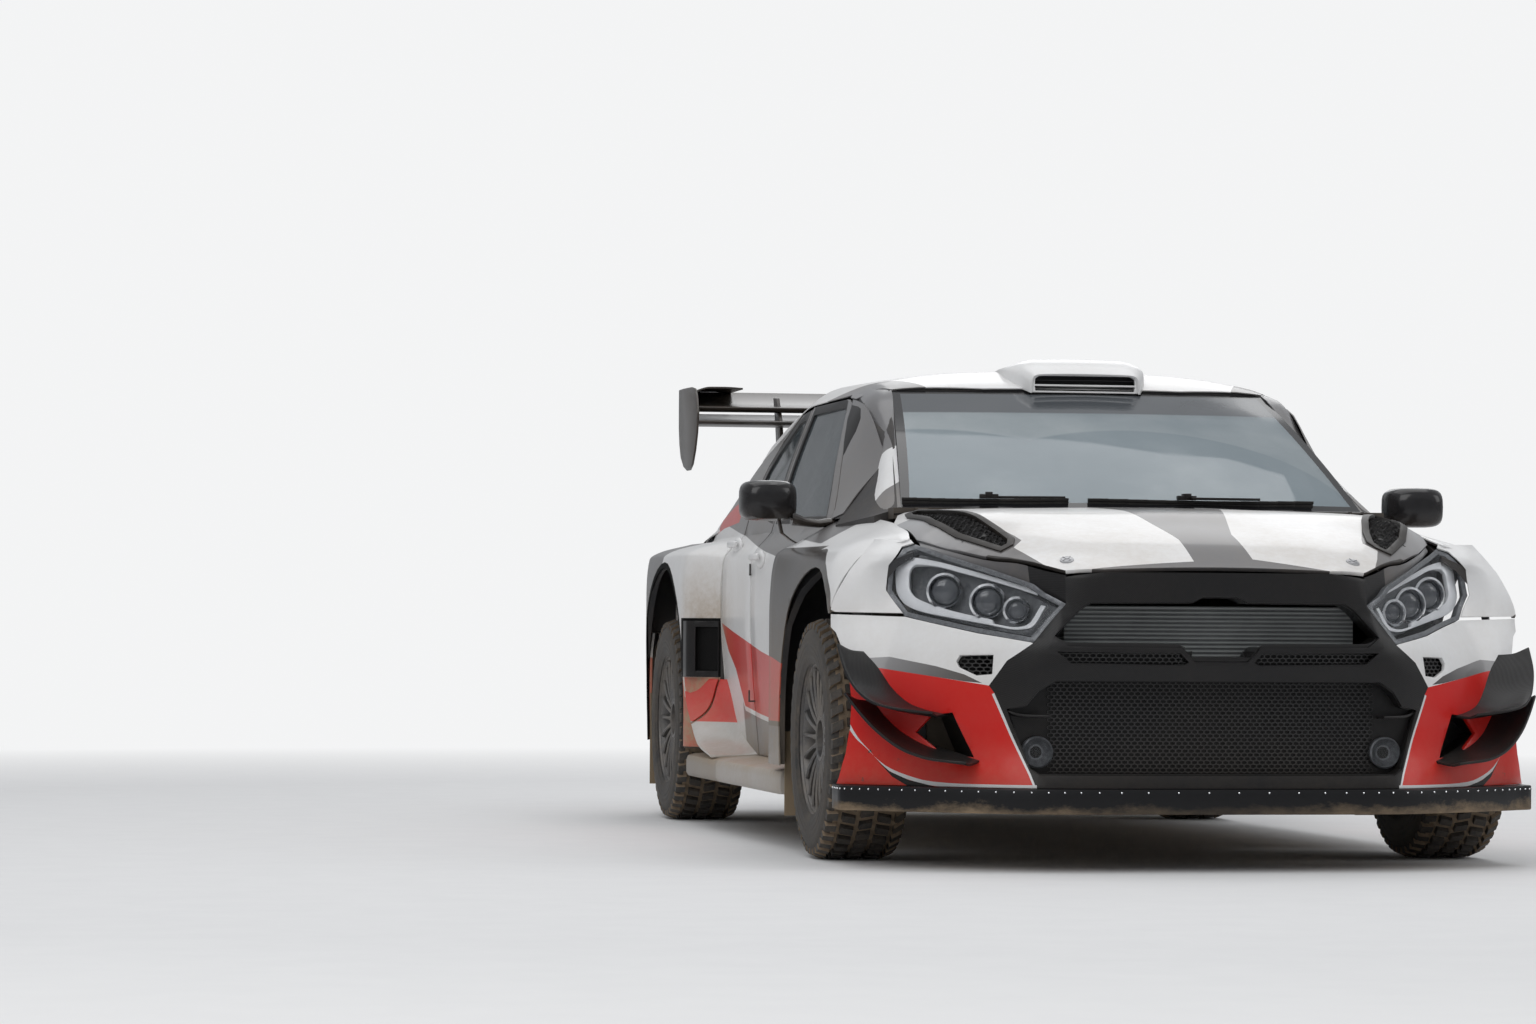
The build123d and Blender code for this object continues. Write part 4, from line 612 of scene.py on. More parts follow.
bm = drawn(flare_sheet, (REAR_ARCH, SIDE, "hole"), (FLARE_OUTLINE, SIDE, "keep"), (DUCT_FRAME, SIDE, 1),
           (DUCT_HOLE, SIDE, "hole"), (circle(rear(0.0), AXLE_HEIGHT, 0.438), SIDE, 1), move=(0.0025, 0, 0.005))
shell_parts.append(built("rear_arch_left", bm, [flare_material, duct_material], (1, 0, 0), thick=0.004))
# Black plate just behind the duct hole: painted shade in place of the dark duct inside.
bm = drawn(flare_sheet, (DUCT_PLATE, SIDE, "keep"), move=(0.001, 0, 0.004))
shell_parts.append(built("arch_duct_left", bm, [duct_material], (1, 0, 0), thick=0.003))
for part in shell_parts:
    put_pair(part, "chassis")
put(roof, "chassis")

# Front wings: wide composite panels bolted over the arch, white with a black band round the opening.
# A grey patch lies on their tops; the red sweep of the doors starts on them.
FRONT_ARCH = circle(front(0.0), 0.360, 0.420)
WING_ROWS = mm(((-1578, ((3, 655), (20, 715), (52, 768), (92, 810)), (722, 852)), (-1460, ((1, 655),
    (10, 728), (36, 796), (92, 838)), (706, 876)), (-1320, ((1, 655), (10, 732), (38, 806), (100, 846)),
    (706, 896)), (-1260, ((1, 655), (10, 732), (38, 808), (104, 848)), (706, 902)), (-960, ((0, 655),
    (8, 732), (36, 812), (100, 852)), (712, 919)), (-682, ((0, 655), (4, 745), (18, 820), (80, 856)),
    (742, 921))))
WING_OUTLINE = mm([(-1579, 655), (-1260, 655), (-1260, 236), (-681.9, 236), (-681.9, 1000), (-1579, 1000)])
wing_paint = lacquer("wing_paint")
x, y, z = wing_paint.axes()
from_hub = ((y - front(0.0)) * (y - front(0.0)) + (z - 0.360) * (z - 0.360)).power(0.5)
band = ((y - front(-0.12)).clamp() * 0.16 - from_hub + 0.447).step()
panel = (y - front(0.12)).step() * (0.842 - z).step()
tone = wing_paint.mix(band.most(panel), WHITE, (0.020, 0.020, 0.022))
sweep_top = wing_paint.line(y, mm([(-960, 510), (-727, 536), (-660, 541)]))
sweep = (sweep_top - z).step() * (z - 0.359).step()
tone = wing_paint.mix(sweep * (y - front(0.12)).step(), tone, RED)
tone = wing_paint.mix((0.345 - z).step(), tone, GREY)
grey_patch = (0.845 - x.size()).step(0.004) * (z - 0.842).step() * (y - front(0.30)).step()
tone = wing_paint.mix(grey_patch, tone, GREY)
wing_material = dusty(wing_paint, tone, (z * -1.3 + 0.95).clamp() * 1.1 + 0.12)


def wing_sheet(bm):
    rows = []
    for y, points, top in WING_ROWS:
        low = [(points[0][0], 0.236), (points[0][0], 0.440)]
        rows.append([(HALF_WIDTH - inset, y, z) for inset, z in low + points] + [(top[0], y, top[1])])
    sheet(bm, rows, 6, 5)


bm = drawn(wing_sheet, (FRONT_ARCH, SIDE, "hole"), (WING_OUTLINE, SIDE, "keep"), move=(0.0025, 0, 0.002))
wing_skin = built("front_wing_skin_left", bm, [wing_material], (1, 0, 0.3), thick=0.004, soft=0.001)
put_pair(wing_skin, "chassis")

# Bonnet: composite skin in white with a grey centre stripe and grey corners, two netted outlet vents and two pins.
# It hinges at the cowl; the pins lock its front edge.
BONNET_ROWS = mm(((-2002, 772, (300, 764), (450, 738), (740, 640)), (-1820, 846, (300, 842), (470, 818),
    (740, 690)), (-1660, 892, (300, 888), (540, 864), (740, 776)), (-1460, 938, (300, 935), (590, 925),
    (740, 864)), (-1204, 954, (300, 950), (640, 937), (740, 893))))
BONNET_HALF = mm([(300, -1982), (398, -1960), (545, -1795), (640, -1660), (700, -1550), (718, -1320),
    (682, -1214), (560, -1218), (330, -1256)])
VENT = mm([(493, -1726), (502, -1754), (520, -1762), (552, -1708), (600, -1622), (643, -1505), (667, -1335),
    (661, -1284), (640, -1274), (611, -1362), (568, -1456), (539, -1531), (509, -1639)])
STRIPE = mm([(-118, -1465), (-165, -1266), (200, -1266), (155, -1465), (103, -1740), (107, -1928),
    (298, -1982), (300, -2020), (-331, -2020), (-331, -1975), (-54, -1946), (-54, -1793)])
PATCH = mm([(441, -1912), (465, -1853), (490, -1777), (461, -1739), (470, -1700), (548, -1450),
    (600, -1415), (750, -1310), (750, -1560), (640, -1860), (500, -1980)])
TRIM_BAND = mm([(396, -1961), (436, -1917), (468, -1878), (515, -1820), (556, -1768), (600, -1780),
    (550, -1980), (396, -2020)])


def shrunk(outline, gap):
    """The outline moved inward by a gap, for frames and bars."""
    area = sum(u0 * v1 - u1 * v0 for (u0, v0), (u1, v1) in zip(outline, outline[1:] + outline[:1]))
    side = 1.0 if area > 0 else -1.0
    moved = []
    for (ua, va), (ub, vb), (uc, vc) in zip(outline[-1:] + outline, outline, outline[1:] + outline[:1]):
        first = Vector((va - vb, ub - ua)).normalized() * side
        second = Vector((vb - vc, uc - ub)).normalized() * side
        mitre = (first + second) / max(0.35, 1.0 + first.dot(second))
        moved.append((ub + mitre.x * gap, vb + mitre.y * gap))
    return moved


def flipped(outline):
    return [(-u, v) for u, v in outline]


def mirrored_row(half):
    """A row of points from the car's middle outwards, with its mirror image before it."""
    return [(-u, y, z) for u, y, z in reversed(half[1:])] + [*half]


def ring_of(half):
    """Closed outline from its half on +X."""
    return half + flipped(half)[::-1]


def bonnet_sheet(bm):
    sheet(bm, [mirrored_row([(0.0, y, top)] + [(u, y, w) for u, w in rest]) for y, top, *rest in BONNET_ROWS], 7, 5)


def pose(bm, verts, size=None, turns=(), move=ORIGIN):
    """Scales new corners about the origin, turns them about the named axes in order, then moves them."""
    if size:
        bmesh.ops.scale(bm, vec=size, verts=verts)
    for axis, angle in turns:
        bmesh.ops.rotate(bm, cent=ORIGIN, matrix=Matrix.Rotation(angle, 3, axis), verts=verts)
    bmesh.ops.translate(bm, vec=move, verts=verts)
    return verts


def block(bm, size, move=ORIGIN, turns=()):
    return pose(bm, bmesh.ops.create_cube(bm, size=1.0)["verts"], size, turns, move)


def peg(bm, count, low, high, depth, move=ORIGIN, turns=(), caps=True):
    """Round or many-sided peg along Z, with its two radii."""
    made = bmesh.ops.create_cone(bm, cap_ends=caps, segments=count, radius1=low, radius2=high, depth=depth)["verts"]
    return pose(bm, made, None, turns, move)


bonnet_paint = lacquer("bonnet_white", 0.35, 0.08)
x, y, z = bonnet_paint.axes()
bonnet_white = dusty(bonnet_paint, WHITE, (y * -0.5 - 0.45).clamp() * 0.5 + 0.14)
bonnet_paint = lacquer("bonnet_grey", 0.35, 0.08)
x, y, z = bonnet_paint.axes()
shade = ((x.size() - 0.4).clamp() * (y - front(-0.62)).clamp() * 9.0).clamp()
bonnet_grey = dusty(bonnet_paint, bonnet_paint.mix(shade, (0.060, 0.060, 0.065), (0.33, 0.335, 0.35)), 0.14)
net_paint = Finish("black_net")
x, y, z = net_paint.axes()
net_material = dusty(net_paint, (0.014, 0.014, 0.015), (0.36 - z).clamp() * 0.5 + 0.02, 0.4)

cuts = [(ring_of(BONNET_HALF), PLAN, "keep"), (STRIPE, PLAN, 1)]
for patch, band, vent in ((PATCH, TRIM_BAND, VENT), tuple(map(flipped, (PATCH, TRIM_BAND, VENT)))):
    cuts += [(patch, PLAN, 1), (band, PLAN, 2), (vent, PLAN, "hole")]
bonnet_skin = built("bonnet_skin", drawn(bonnet_sheet, *cuts),
                    [bonnet_white, bonnet_grey, trim_material, inner_material], (0, 0, 1), 0.010, 0.002, back=3)
put(bonnet_skin, "bonnet_lid", "bonnet")

# Vent frames stand proud of the skin; a wire net with long waved cells closes each vent below them.
# A dark sheet under each net is painted shade, standing in for the depth down inside the vent.
NET_LINES, NET_POINTS = 33, 60
NET_PITCH, NET_STEP, NET_WAVE = 0.0155, 0.0035, 0.0032
surface = drawn(bonnet_sheet)
cloud = np.array([v.co for v in surface.verts])
surface.free()
for sign, side in ((1, "left"), (-1, "right")):
    vent = VENT if sign > 0 else flipped(VENT)
    bm = drawn(bonnet_sheet, (shrunk(vent, -0.016), PLAN, "keep"), (shrunk(vent, 0.002), PLAN, "hole"),
               move=(0, 0, 0.005))
    vent_frame = built(f"vent_frame_{side}", bm, [trim_material], (0, 0, 1), 0.012, 0.002)
    # Dark sheet 14 mm under the net: painted shade in place of the vent's depth.
    bm = drawn(bonnet_sheet, (shrunk(vent, -0.006), PLAN, "keep"), move=(0, 0, -0.014))
    vent_shade_sheet = built(f"vent_floor_{side}", bm, [inner_material], (0, 0, 1), 0.003)
    bm = bmesh.new()
    for k in range(NET_LINES):
        wave = []
        for j in range(NET_POINTS):
            u = 0.48 + j * NET_STEP
            v = front(-0.505) + k * NET_PITCH + NET_WAVE * math.sin(j * 1.25 + k * math.pi)
            if inside(VENT, u, v):
                away = np.hypot(cloud[:, 0] - sign * u, cloud[:, 1] - v)
                near = np.argsort(away)[:4]
                share = 1 / (away[near] + 1e-5)
                wave.append(Vector((sign * u, v, float((cloud[near, 2] * share).sum() / share.sum()) - 0.003)))
        wide, down = Vector((0, 0.0016, 0)), Vector((0, 0, -0.008))
        for first, second in zip(wave, wave[1:]):
            if (second - first).length <= 0.02:
                bm.faces.new([bm.verts.new(p) for p in (first - wide, second - wide, second + wide, first + wide)])
                bm.faces.new([bm.verts.new(p) for p in (first + wide, second + wide, second + wide + down,
                                                        first + wide + down)])
    net = built(f"vent_net_{side}", bm, [net_material], (0, 0, 1), 0.002)
    for piece in (vent_frame, vent_shade_sheet, net):
        put(piece, "bonnet_lid")

# Bonnet pins: bare alloy discs with a crossed turn slot, sunk in washers that are black on the car but share the
# alloy finish here.
# Each stands square on the bonnet's slope near its front corner.
pin_material = grained("pin_alloy", 420.0, 3.0, (0.25, 0.25, 0.26), (0.6, 0.6, 0.61), (0.3, 0.25),
                       Metallic=1.0)[0].data
for sign, side in ((1, "left"), (-1, "right")):
    bm = bmesh.new()
    for radius, low, high in mm(((19, -4, 2.5), (15, 0, 4.5), (6, 0, 7))):
        peg(bm, 28, radius, radius * 0.93, high - low, (0, 0, (low + high) / 2))
    for k in range(4):
        slot = block(bm, (0.008, 0.0022, 0.002), (0.010, 0, 0.0052))
        pose(bm, slot, turns=[("Z", k * math.pi / 2 + 0.6)])
    pose(bm, bm.verts, turns=[("X", math.radians(24)), ("Y", math.radians(9) * sign)],
         move=(sign * 0.381, front(-0.650), 0.797))
    put(built(f"bonnet_pin_{side}", bm, [pin_material], soft=0.0005), "bonnet_lid")

# Front bumper: one composite moulding, white at the sides, black over the centre and red at its lower corners.
# It screws to the front cell; its arch edges stand as wide as the wings. Rows are (height, (across, along) ...).
NOSE_ROWS = mm(((214.3, ((0, -772), (300, -768), (475, -745), (620, -660), (750, -560), (840, -480),
    (900, -432), (936.5, -385))), (360, ((0, -742), (300, -737), (470, -712), (620, -630), (760, -530),
    (832, -462), (890, -428), (936.5, -388))), (490, ((0, -757), (300, -752), (470, -722), (600, -640),
    (740, -520), (812, -448), (876, -415), (936.5, -372))), (560, ((0, -762), (300, -757), (450, -727),
    (580, -640), (720, -500), (796, -428), (866, -397), (936.5, -350))), (655, ((0, -747), (300, -738),
    (410, -717), (560, -600), (680, -462), (775, -385), (852, -362), (934.5, -322))), (765, ((0, -742),
    (300, -731), (400, -702), (550, -566), (670, -430), (760, -348), (822, -349), (886, -326))), (795,
    ((0, -736), (300, -720), (399, -694), (543, -557), (663, -418), (752, -350), (800, -354), (862, -326))),
    (850, ((0, -725), (300, -700), (396, -680), (530, -540), (650, -390), (735, -305), (768, -306),
    (815, -312)))))
LAMP = mm([(397, 682), (482, 586), (600, 610), (752, 652), (790, 716), (782, 780), (742, 829), (711, 838),
    (665, 816), (576, 779), (525, 757), (472, 734), (449, 712)])
BUMPER_HALF = mm([(300, 765.5), (372, 757), (399, 752), (399, 684), (482, 584), (601, 607), (753, 649),
    (945, 655), (945, 214.5)])
UPPER_MOUTH = mm([(75, 690), (45, 704), (-45, 704), (-75, 690), (-335, 688), (-362, 672), (-430, 602),
    (-398, 576), (-104, 573), (-70, 537), (70, 537), (104, 573), (398, 576), (430, 602), (362, 672),
    (335, 688)])
MOUTH_STRIP = mm([(108, 559), (426, 562), (390, 533), (100, 529), (86, 536)])
LOWER_MOUTH = mm([(428, 488), (470, 462), (498, 424), (545, 415), (493, 262), (470, 247), (-470, 247),
    (-493, 262), (-545, 415), (-498, 424), (-470, 462), (-428, 488)])
SIDE_MOUTH = mm([(668, 404), (716, 396), (752, 352), (690, 296), (620, 290)])
FLAP_HOLE = mm([(572, 553), (646, 551), (655, 535), (650, 520), (612, 499), (577, 503)])
BLACK_FIELD = mm([(0, 800), (700, 800), (700, 660), (482, 583), (543, 538), (585, 474), (573, 455),
    (492, 250), (476, 200), (0, 200)])
RED_FIELD = mm([(573, 455), (585, 474), (822, 515), (950, 522), (950, 200), (476, 200), (492, 250)])
INNER_STRIPE = mm([(573, 455), (578.5, 452), (497.5, 249), (481.5, 200), (476, 200), (492, 250)])
STRIPE_TOP = mm(((938, 500), (930, 440), (915, 385), (890, 336), (864, 309), (820, 264), (776, 242),
    (715, 226), (621, 222), (479, 222)))
STRIPE_FOOT = mm(((931, 500), (923, 442), (908, 388), (883, 336), (856, 302), (812, 251), (770, 230),
    (710, 215), (621, 211), (479, 208)))
DARK_WEDGE = mm([(840, 279), (812, 250), (770, 229), (712, 214), (700, 205), (760, 205), (806, 236)])
GREY_WEDGE = mm([(800, 545), (700, 522), (640, 502), (600, 480), (640, 484), (822, 514), (880, 519),
    (870, 540)])


def evenly(line, steps):
    """Smooth line through evenly counted points."""
    return [tuple(float(c) for c in p) for p in flow(line, range(len(line)), steps)]


def nose_sheet(bm):
    sheet(bm, [mirrored_row([(u, front(s), z) for u, s in points]) for z, points in NOSE_ROWS], 6, 4)


def nose_at(u, z):
    """Place along the car of the nose skin at a width and a height."""
    spots = [np.interp(abs(u), *zip(*points)) for _, points in NOSE_ROWS]
    return front(float(np.interp(z, [height for height, _ in NOSE_ROWS], spots)))


def band_on_nose(name, outer, inner, depth, material, thick, soft):
    """A strip between two lines drawn on the nose skin, set back by depth."""
    bm = bmesh.new()
    sheet(bm, [[(u, nose_at(u, z) + depth, z) for u, z in ends] for ends in zip(outer, inner)], 4, 1)
    return built(name, bm, [material], (0, -1, 0), thick, soft)


nose_black = lacquer("nose_black", 0.06, 0.2, 0.22)
x, y, z = nose_black.axes()
weave = nose_black.node("TexChecker", {"Vector": nose_black.place, "Scale": 420.0}).outputs["Fac"]
black_material = dusty(nose_black, nose_black.mix(weave, (0.006, 0.006, 0.007), (0.015, 0.0155, 0.017)),
                       (0.45 - z).clamp() * 0.12 + 0.02, 0.34)
nose_white = lacquer("nose_white")
x, y, z = nose_white.axes()
white_material = dusty(nose_white, WHITE, (0.7 - z).clamp() * 0.4 + 0.14)
nose_red = lacquer("nose_red", 0.15, 0.12, 0.25)
x, y, z = nose_red.axes()
chips = (nose_red.noise(38.0, 5.0, 0.7) - 0.665).step(0.02) * (x.size() - 0.80).step(0.05)
nose_red_material = dusty(nose_red, nose_red.mix(chips, RED, (0.03, 0.03, 0.03)), (0.36 - z).clamp() * 1.2 + 0.06)
stripe_material = dusty(Finish("nose_stripe", Coat_Weight=0.4), (0.66, 0.67, 0.68), 0.2)

curved_stripe = evenly(STRIPE_TOP, 3) + evenly(STRIPE_FOOT, 3)[::-1]
cuts = [(ring_of(BUMPER_HALF), NOSE, "keep"), (FRONT_ARCH, SIDE, "hole")]
fields = [(GREY_WEDGE, 5), (BLACK_FIELD, 1), (RED_FIELD, 2), (INNER_STRIPE, 3), (curved_stripe, 3), (DARK_WEDGE, 1),
          (SIDE_MOUTH, "hole"), (FLAP_HOLE, "hole"), (MOUTH_STRIP, "hole")]
cuts += [(field, NOSE, mode) for field, mode in fields]
cuts += [(flipped(field), NOSE, mode) for field, mode in fields]
cuts += [(UPPER_MOUTH, NOSE, "hole"), (LOWER_MOUTH, NOSE, "hole")]
bumper_skin = built("bumper_skin", drawn(nose_sheet, *cuts),
                    [white_material, black_material, nose_red_material, stripe_material, inner_material, bonnet_grey],
                    (0, -1, 0), 0.010, 0.0025, back=4)
put(bumper_skin, "chassis", "front_bumper")

# Panels between lamp, wing and bonnet: white wing corners outboard of the lamps and a dark brow above them.
# The brow's lower edge folds in behind the lamp.
CORNER_OUTLINE = mm([(756, 657), (945, 659), (945, 852), (720, 852), (714, 841), (744, 832), (785, 782),
    (793, 716)])
BROW_TOP = mm([(396, -704, 757), (442, -654, 769), (500, -588, 788), (545, -535, 793), (640, -397, 822),
    (694, -292, 845)])
BROW_FOOT = mm([(392, -716, 684), (449, -660, 713), (490, -615, 738), (545, -545, 765), (652, -388, 812),
    (694, -312, 832)])
BROW_INNER = mm([(300, 600), (470, 600), (480, 900), (300, 900)])
bm = drawn(nose_sheet, (CORNER_OUTLINE, NOSE, "keep"), (FRONT_ARCH, SIDE, "hole"), move=(0.0025, -0.003, 0.002))
put_pair(built("wing_corner_left", bm, [wing_material], (1, -1, 0), 0.004), "chassis")
brow_rows = [[(u, front(s), z) for u, s, z in edge] for edge in (BROW_TOP, BROW_FOOT)]
brow_rows.append([(u - 0.02, front(s + 0.03), z - 0.03) for u, s, z in BROW_FOOT])
bm = drawn(lambda bm: sheet(bm, brow_rows, 3, 4), (BROW_INNER, NOSE, 1))
put_pair(built("lamp_brow_left", bm, [bonnet_grey, black_material], (0, -1, 0.4), 0.003), "chassis")

# Headlamps: clear cover over a dark bowl, a white light guide round its edge and three projector lenses.
# The cover stands in for the lamp's solid; a deep dark rim seats it in the bumper.
GUIDE_OUT = mm([(452, 716), (500, 735), (600, 772), (690, 800), (728, 806), (752, 795), (764, 768),
    (766, 722), (752, 686), (722, 666), (640, 645), (560, 627)])
GUIDE_IN = mm([(458, 706), (504, 724), (606, 760), (688, 784), (714, 786), (726, 777), (733, 758),
    (735, 726), (725, 703), (706, 690), (636, 663), (562, 643)])
GUIDE_TIP_OUT = mm([(560, 627), (510, 617), (478, 622), (440, 678)])
GUIDE_TIP_IN = mm([(562, 633), (512, 624), (486, 629), (450, 681)])
PROJECTORS = mm(((655, 716, 38), (566, 688, 38), (503, 667, 26)))
lens_paint = Finish("lamp_cover", Roughness=0.03, IOR=1.45)
lens_material = lens_paint.out(Base_Color=(0.16, 0.17, 0.18), Alpha=lens_paint.noise(14.0, 4.0) * 0.06 + 0.05)
bowl_material = grained("lamp_bowl", 90.0, 3.0, (0.040, 0.042, 0.047), (0.24, 0.25, 0.265), (0.3, 0.2),
                        Metallic=0.35)[0].data
guide_material = grained("light_guide", 60.0, 2.0, (0.74, 0.76, 0.79), (0.86, 0.87, 0.9), Roughness=0.18,
                         Coat_Weight=0.6)[0].data
chrome_material = grained("lamp_chrome", 120.0, 2.0, (0.55, 0.56, 0.58), (0.82, 0.83, 0.85), (0.2, 0.06),
                          Metallic=1.0)[0].data
ball_material = grained("projector_glass", 30.0, 2.0, (0.03, 0.034, 0.04), (0.12, 0.13, 0.15), Roughness=0.02,
                        IOR=1.5, Coat_Weight=1.0, Coat_Roughness=0.01, Metallic=0.2)[0].data
bm = drawn(nose_sheet, (shrunk(LAMP, 0.002), NOSE, "keep"))
cover = built("lamp_cover_left", bm, [lens_material], (0, -1, 0), 0.003)
bm = drawn(nose_sheet, (shrunk(LAMP, 0.014), NOSE, "keep"), move=(-0.040, 0.034, -0.006))
lamp_parts = [built("lamp_bowl_left", bm, [bowl_material], (0, -1, 0), 0.003)]
bm = drawn(nose_sheet, (shrunk(LAMP, -0.001), NOSE, "keep"), (shrunk(LAMP, 0.011), NOSE, "hole"), move=(0, 0.0015, 0))
lamp_parts.append(built("lamp_rim_left", bm, [bowl_material], (0, -1, 0), 0.022, 0.001))
for name, outer, inner, thick, soft in (("light_guide_left", GUIDE_OUT, GUIDE_IN, 0.012, 0.002),
                                        ("light_guide_tip_left", GUIDE_TIP_OUT, GUIDE_TIP_IN, 0.010, 0.001)):
    lamp_parts.append(band_on_nose(name, outer, inner, 0.022, guide_material, thick, soft))
UPRIGHT = [("X", math.pi / 2)]


def ball(bm, around, down, radius, size=None, move=ORIGIN, turns=()):
    made = bmesh.ops.create_uvsphere(bm, u_segments=around, v_segments=down, radius=radius)["verts"]
    return pose(bm, made, size, turns, move)


for number, (u, z, radius) in enumerate(PROJECTORS):
    bm = bmesh.new()
    glass = radius * 0.93
    collar = [(radius + 0.010, 0.0), (radius + 0.010, -0.006), (radius + 0.004, -0.010), (radius + 0.001, -0.006),
              (radius, 0.010), (glass, 0.013)]
    lathe(bm, [(r, d, 0) for r, d in collar], (0, 1, 0), 48)
    for face in bm.faces:
        face.material_index = 1
    pose(bm, ball(bm, 40, 20, glass, turns=UPRIGHT), (1, 0.42, 1), move=(0, 0.008, 0))
    for k in range(3):
        ring = radius * (0.86 - 0.2 * k)
        bulge = 0.42 * glass * math.sqrt(1 - (ring / glass) ** 2)
        peg(bm, 40, ring, ring * 0.97, 0.003, (0, 0.008 - bulge, 0), UPRIGHT, caps=False)
    pose(bm, bm.verts, turns=[("Z", math.radians(14))], move=(u, nose_at(u, z) + 0.030, z))
    lamp_parts.append(built(f"projector_{number}_left", bm, [ball_material, chrome_material]))
put_pair(cover, "chassis", "headlamps")
for part in lamp_parts:
    put_pair(part, "chassis")

# Grille mesh: pressed steel sheet with long six-sided holes, painted black, behind the lower mouth.
# Smaller pieces of it close the two flap holes and hang along the upper mouth's foot.
CELL_WIDE, CELL_HIGH, CELL_BAR = 0.0165, 0.0125, 0.0032
HEXAGON = ((0.5, 0.28), (0.0, 0.5), (-0.5, 0.28), (-0.5, -0.28), (0.0, -0.5), (0.5, -0.28))
NETS = ((52, 26, 0.0, 0.250), (7, 8, 0.613, 0.496), (7, 8, -0.613, 0.496), (20, 6, 0.262, 0.523),
        (20, 6, -0.262, 0.523))


def bridge(bm, rings, ends=True):
    """Walls between rings of corners, and caps on the first and the last."""
    for first, second in zip(rings, rings[1:]):
        count = len(first)
        for k in range(count):
            bm.faces.new((first[k], first[(k + 1) % count], second[(k + 1) % count], second[k]))
    if ends:
        bm.faces.new(rings[0])
        bm.faces.new(rings[-1])


bm = bmesh.new()
for columns, lines, mid, foot in NETS:
    for row in range(lines):
        for col in range(columns):
            cx = mid + (col - columns / 2 + (0.5 if row % 2 else 0.0) + 0.25) * CELL_WIDE
            cz = foot + row * CELL_HIGH * 0.78
            bridge(bm, [[bm.verts.new((cx + u * (CELL_WIDE - bar), 0, cz + v * (CELL_HIGH - bar)))
                         for u, v in HEXAGON] for bar in (0.0, CELL_BAR)], ends=False)
for vert in bm.verts:
    u, _, z = vert.co
    vert.co.y = front(-0.700) + 0.20 * u ** 2 if z < 0.51 and abs(u) < 0.5 else nose_at(u, z) + 0.014
bmesh.ops.remove_doubles(bm, verts=bm.verts, dist=0.0004)
put(built("grille_net", bm, [net_material], (0, -1, 0), 0.002, sharp=60), "chassis", "grille_mesh")

# Duct walls behind the mouths, dark backs far inside them, and the notched lip across the upper mouth's foot.
# Walls and lip are black composite, bonded to the bumper's back; the backs are black sheets of painted shade for the
# mouths' depth.
LIP_TOP = mm([(-428, 600), (-392, 586), (-112, 583), (-78, 549), (78, 549), (112, 583), (392, 586),
    (428, 600)])
LIP_FOOT = mm([(-420, 588), (-398, 573), (-104, 570), (-70, 535), (70, 535), (104, 570), (398, 573),
    (420, 588)])
SHADE_BACKS = mm(((240, 498, -560, 560, -655), (285, 415, 560, 770, -420), (285, 415, -770, -560, -420),
    (488, 565, 560, 670, -545), (488, 565, -670, -560, -545), (522, 570, 106, 440, -690),
    (522, 570, -440, -106, -690)))


def plate(bm, corners):
    """Flat face through the corners."""
    return bm.faces.new([bm.verts.new(p) for p in corners])


bm = bmesh.new()
for outline, far in ((UPPER_MOUTH, -0.642), (LOWER_MOUTH, -0.650), (SIDE_MOUTH, -0.40), (flipped(SIDE_MOUTH), -0.40)):
    for (u0, z0), (u1, z1) in zip(outline, outline[1:] + outline[:1]):
        plate(bm, ((u0, nose_at(u0, z0) + 0.004, z0), (u1, nose_at(u1, z1) + 0.004, z1), (u1, front(far), z1),
                   (u0, front(far), z0)))
put(built("mouth_walls", bm, [black_material], thick=0.003), "chassis")
lip = band_on_nose("mouth_lip", LIP_TOP, LIP_FOOT, 0.004, black_material, 0.030, 0.003)
put(lip, "chassis", "grille_bar")
# Black sheets far back in the mouths: painted shade in place of the dark parts behind them.
bm = bmesh.new()
for low, high, left, right, s in SHADE_BACKS:
    plate(bm, ((left, front(s), low), (right, front(s), low), (right, front(s), high), (left, front(s), high)))
put(built("mouth_shade_backs", bm, [black_material], (0, -1, 0), 0.003), "chassis")

# Air deflectors: curved composite blades screwed to the bumper corners, two a side.
# Rows are (outer edge, inner edge), each (across, behind the axle, up).
UPPER_BLADE = mm((((936, -430, 574), (850, -400, 557)), ((932, -475, 527), (834, -430, 527)),
    ((912, -530, 465), (800, -478, 462)), ((870, -585, 424), (760, -528, 424)), ((800, -620, 408),
    (722, -560, 410)), ((727, -628, 400), (690, -590, 402))))
LOWER_BLADE = mm((((930, -500, 448), (850, -450, 430)), ((900, -540, 400), (820, -480, 385)),
    ((862, -585, 352), (775, -525, 345)), ((800, -640, 303), (720, -572, 318)), ((735, -680, 282),
    (670, -628, 300)), ((655, -706, 275), (625, -668, 283))))
for name, rows, node in (("upper_blade", UPPER_BLADE, "canards"), ("lower_blade", LOWER_BLADE, None)):
    bm = bmesh.new()
    sheet(bm, [[(a[0], front(a[1]), a[2] + 0.006),
                ((a[0] + b[0]) / 2, front((a[1] + b[1]) / 2), (a[2] + b[2]) / 2 - 0.004),
                (b[0] - 0.02, front(b[1] + 0.02), b[2])] for a, b in rows], 5, 4)
    put_pair(built(name + "_left", bm, [black_material], (0, -0.3, 1), 0.007, 0.0015), "chassis", node)

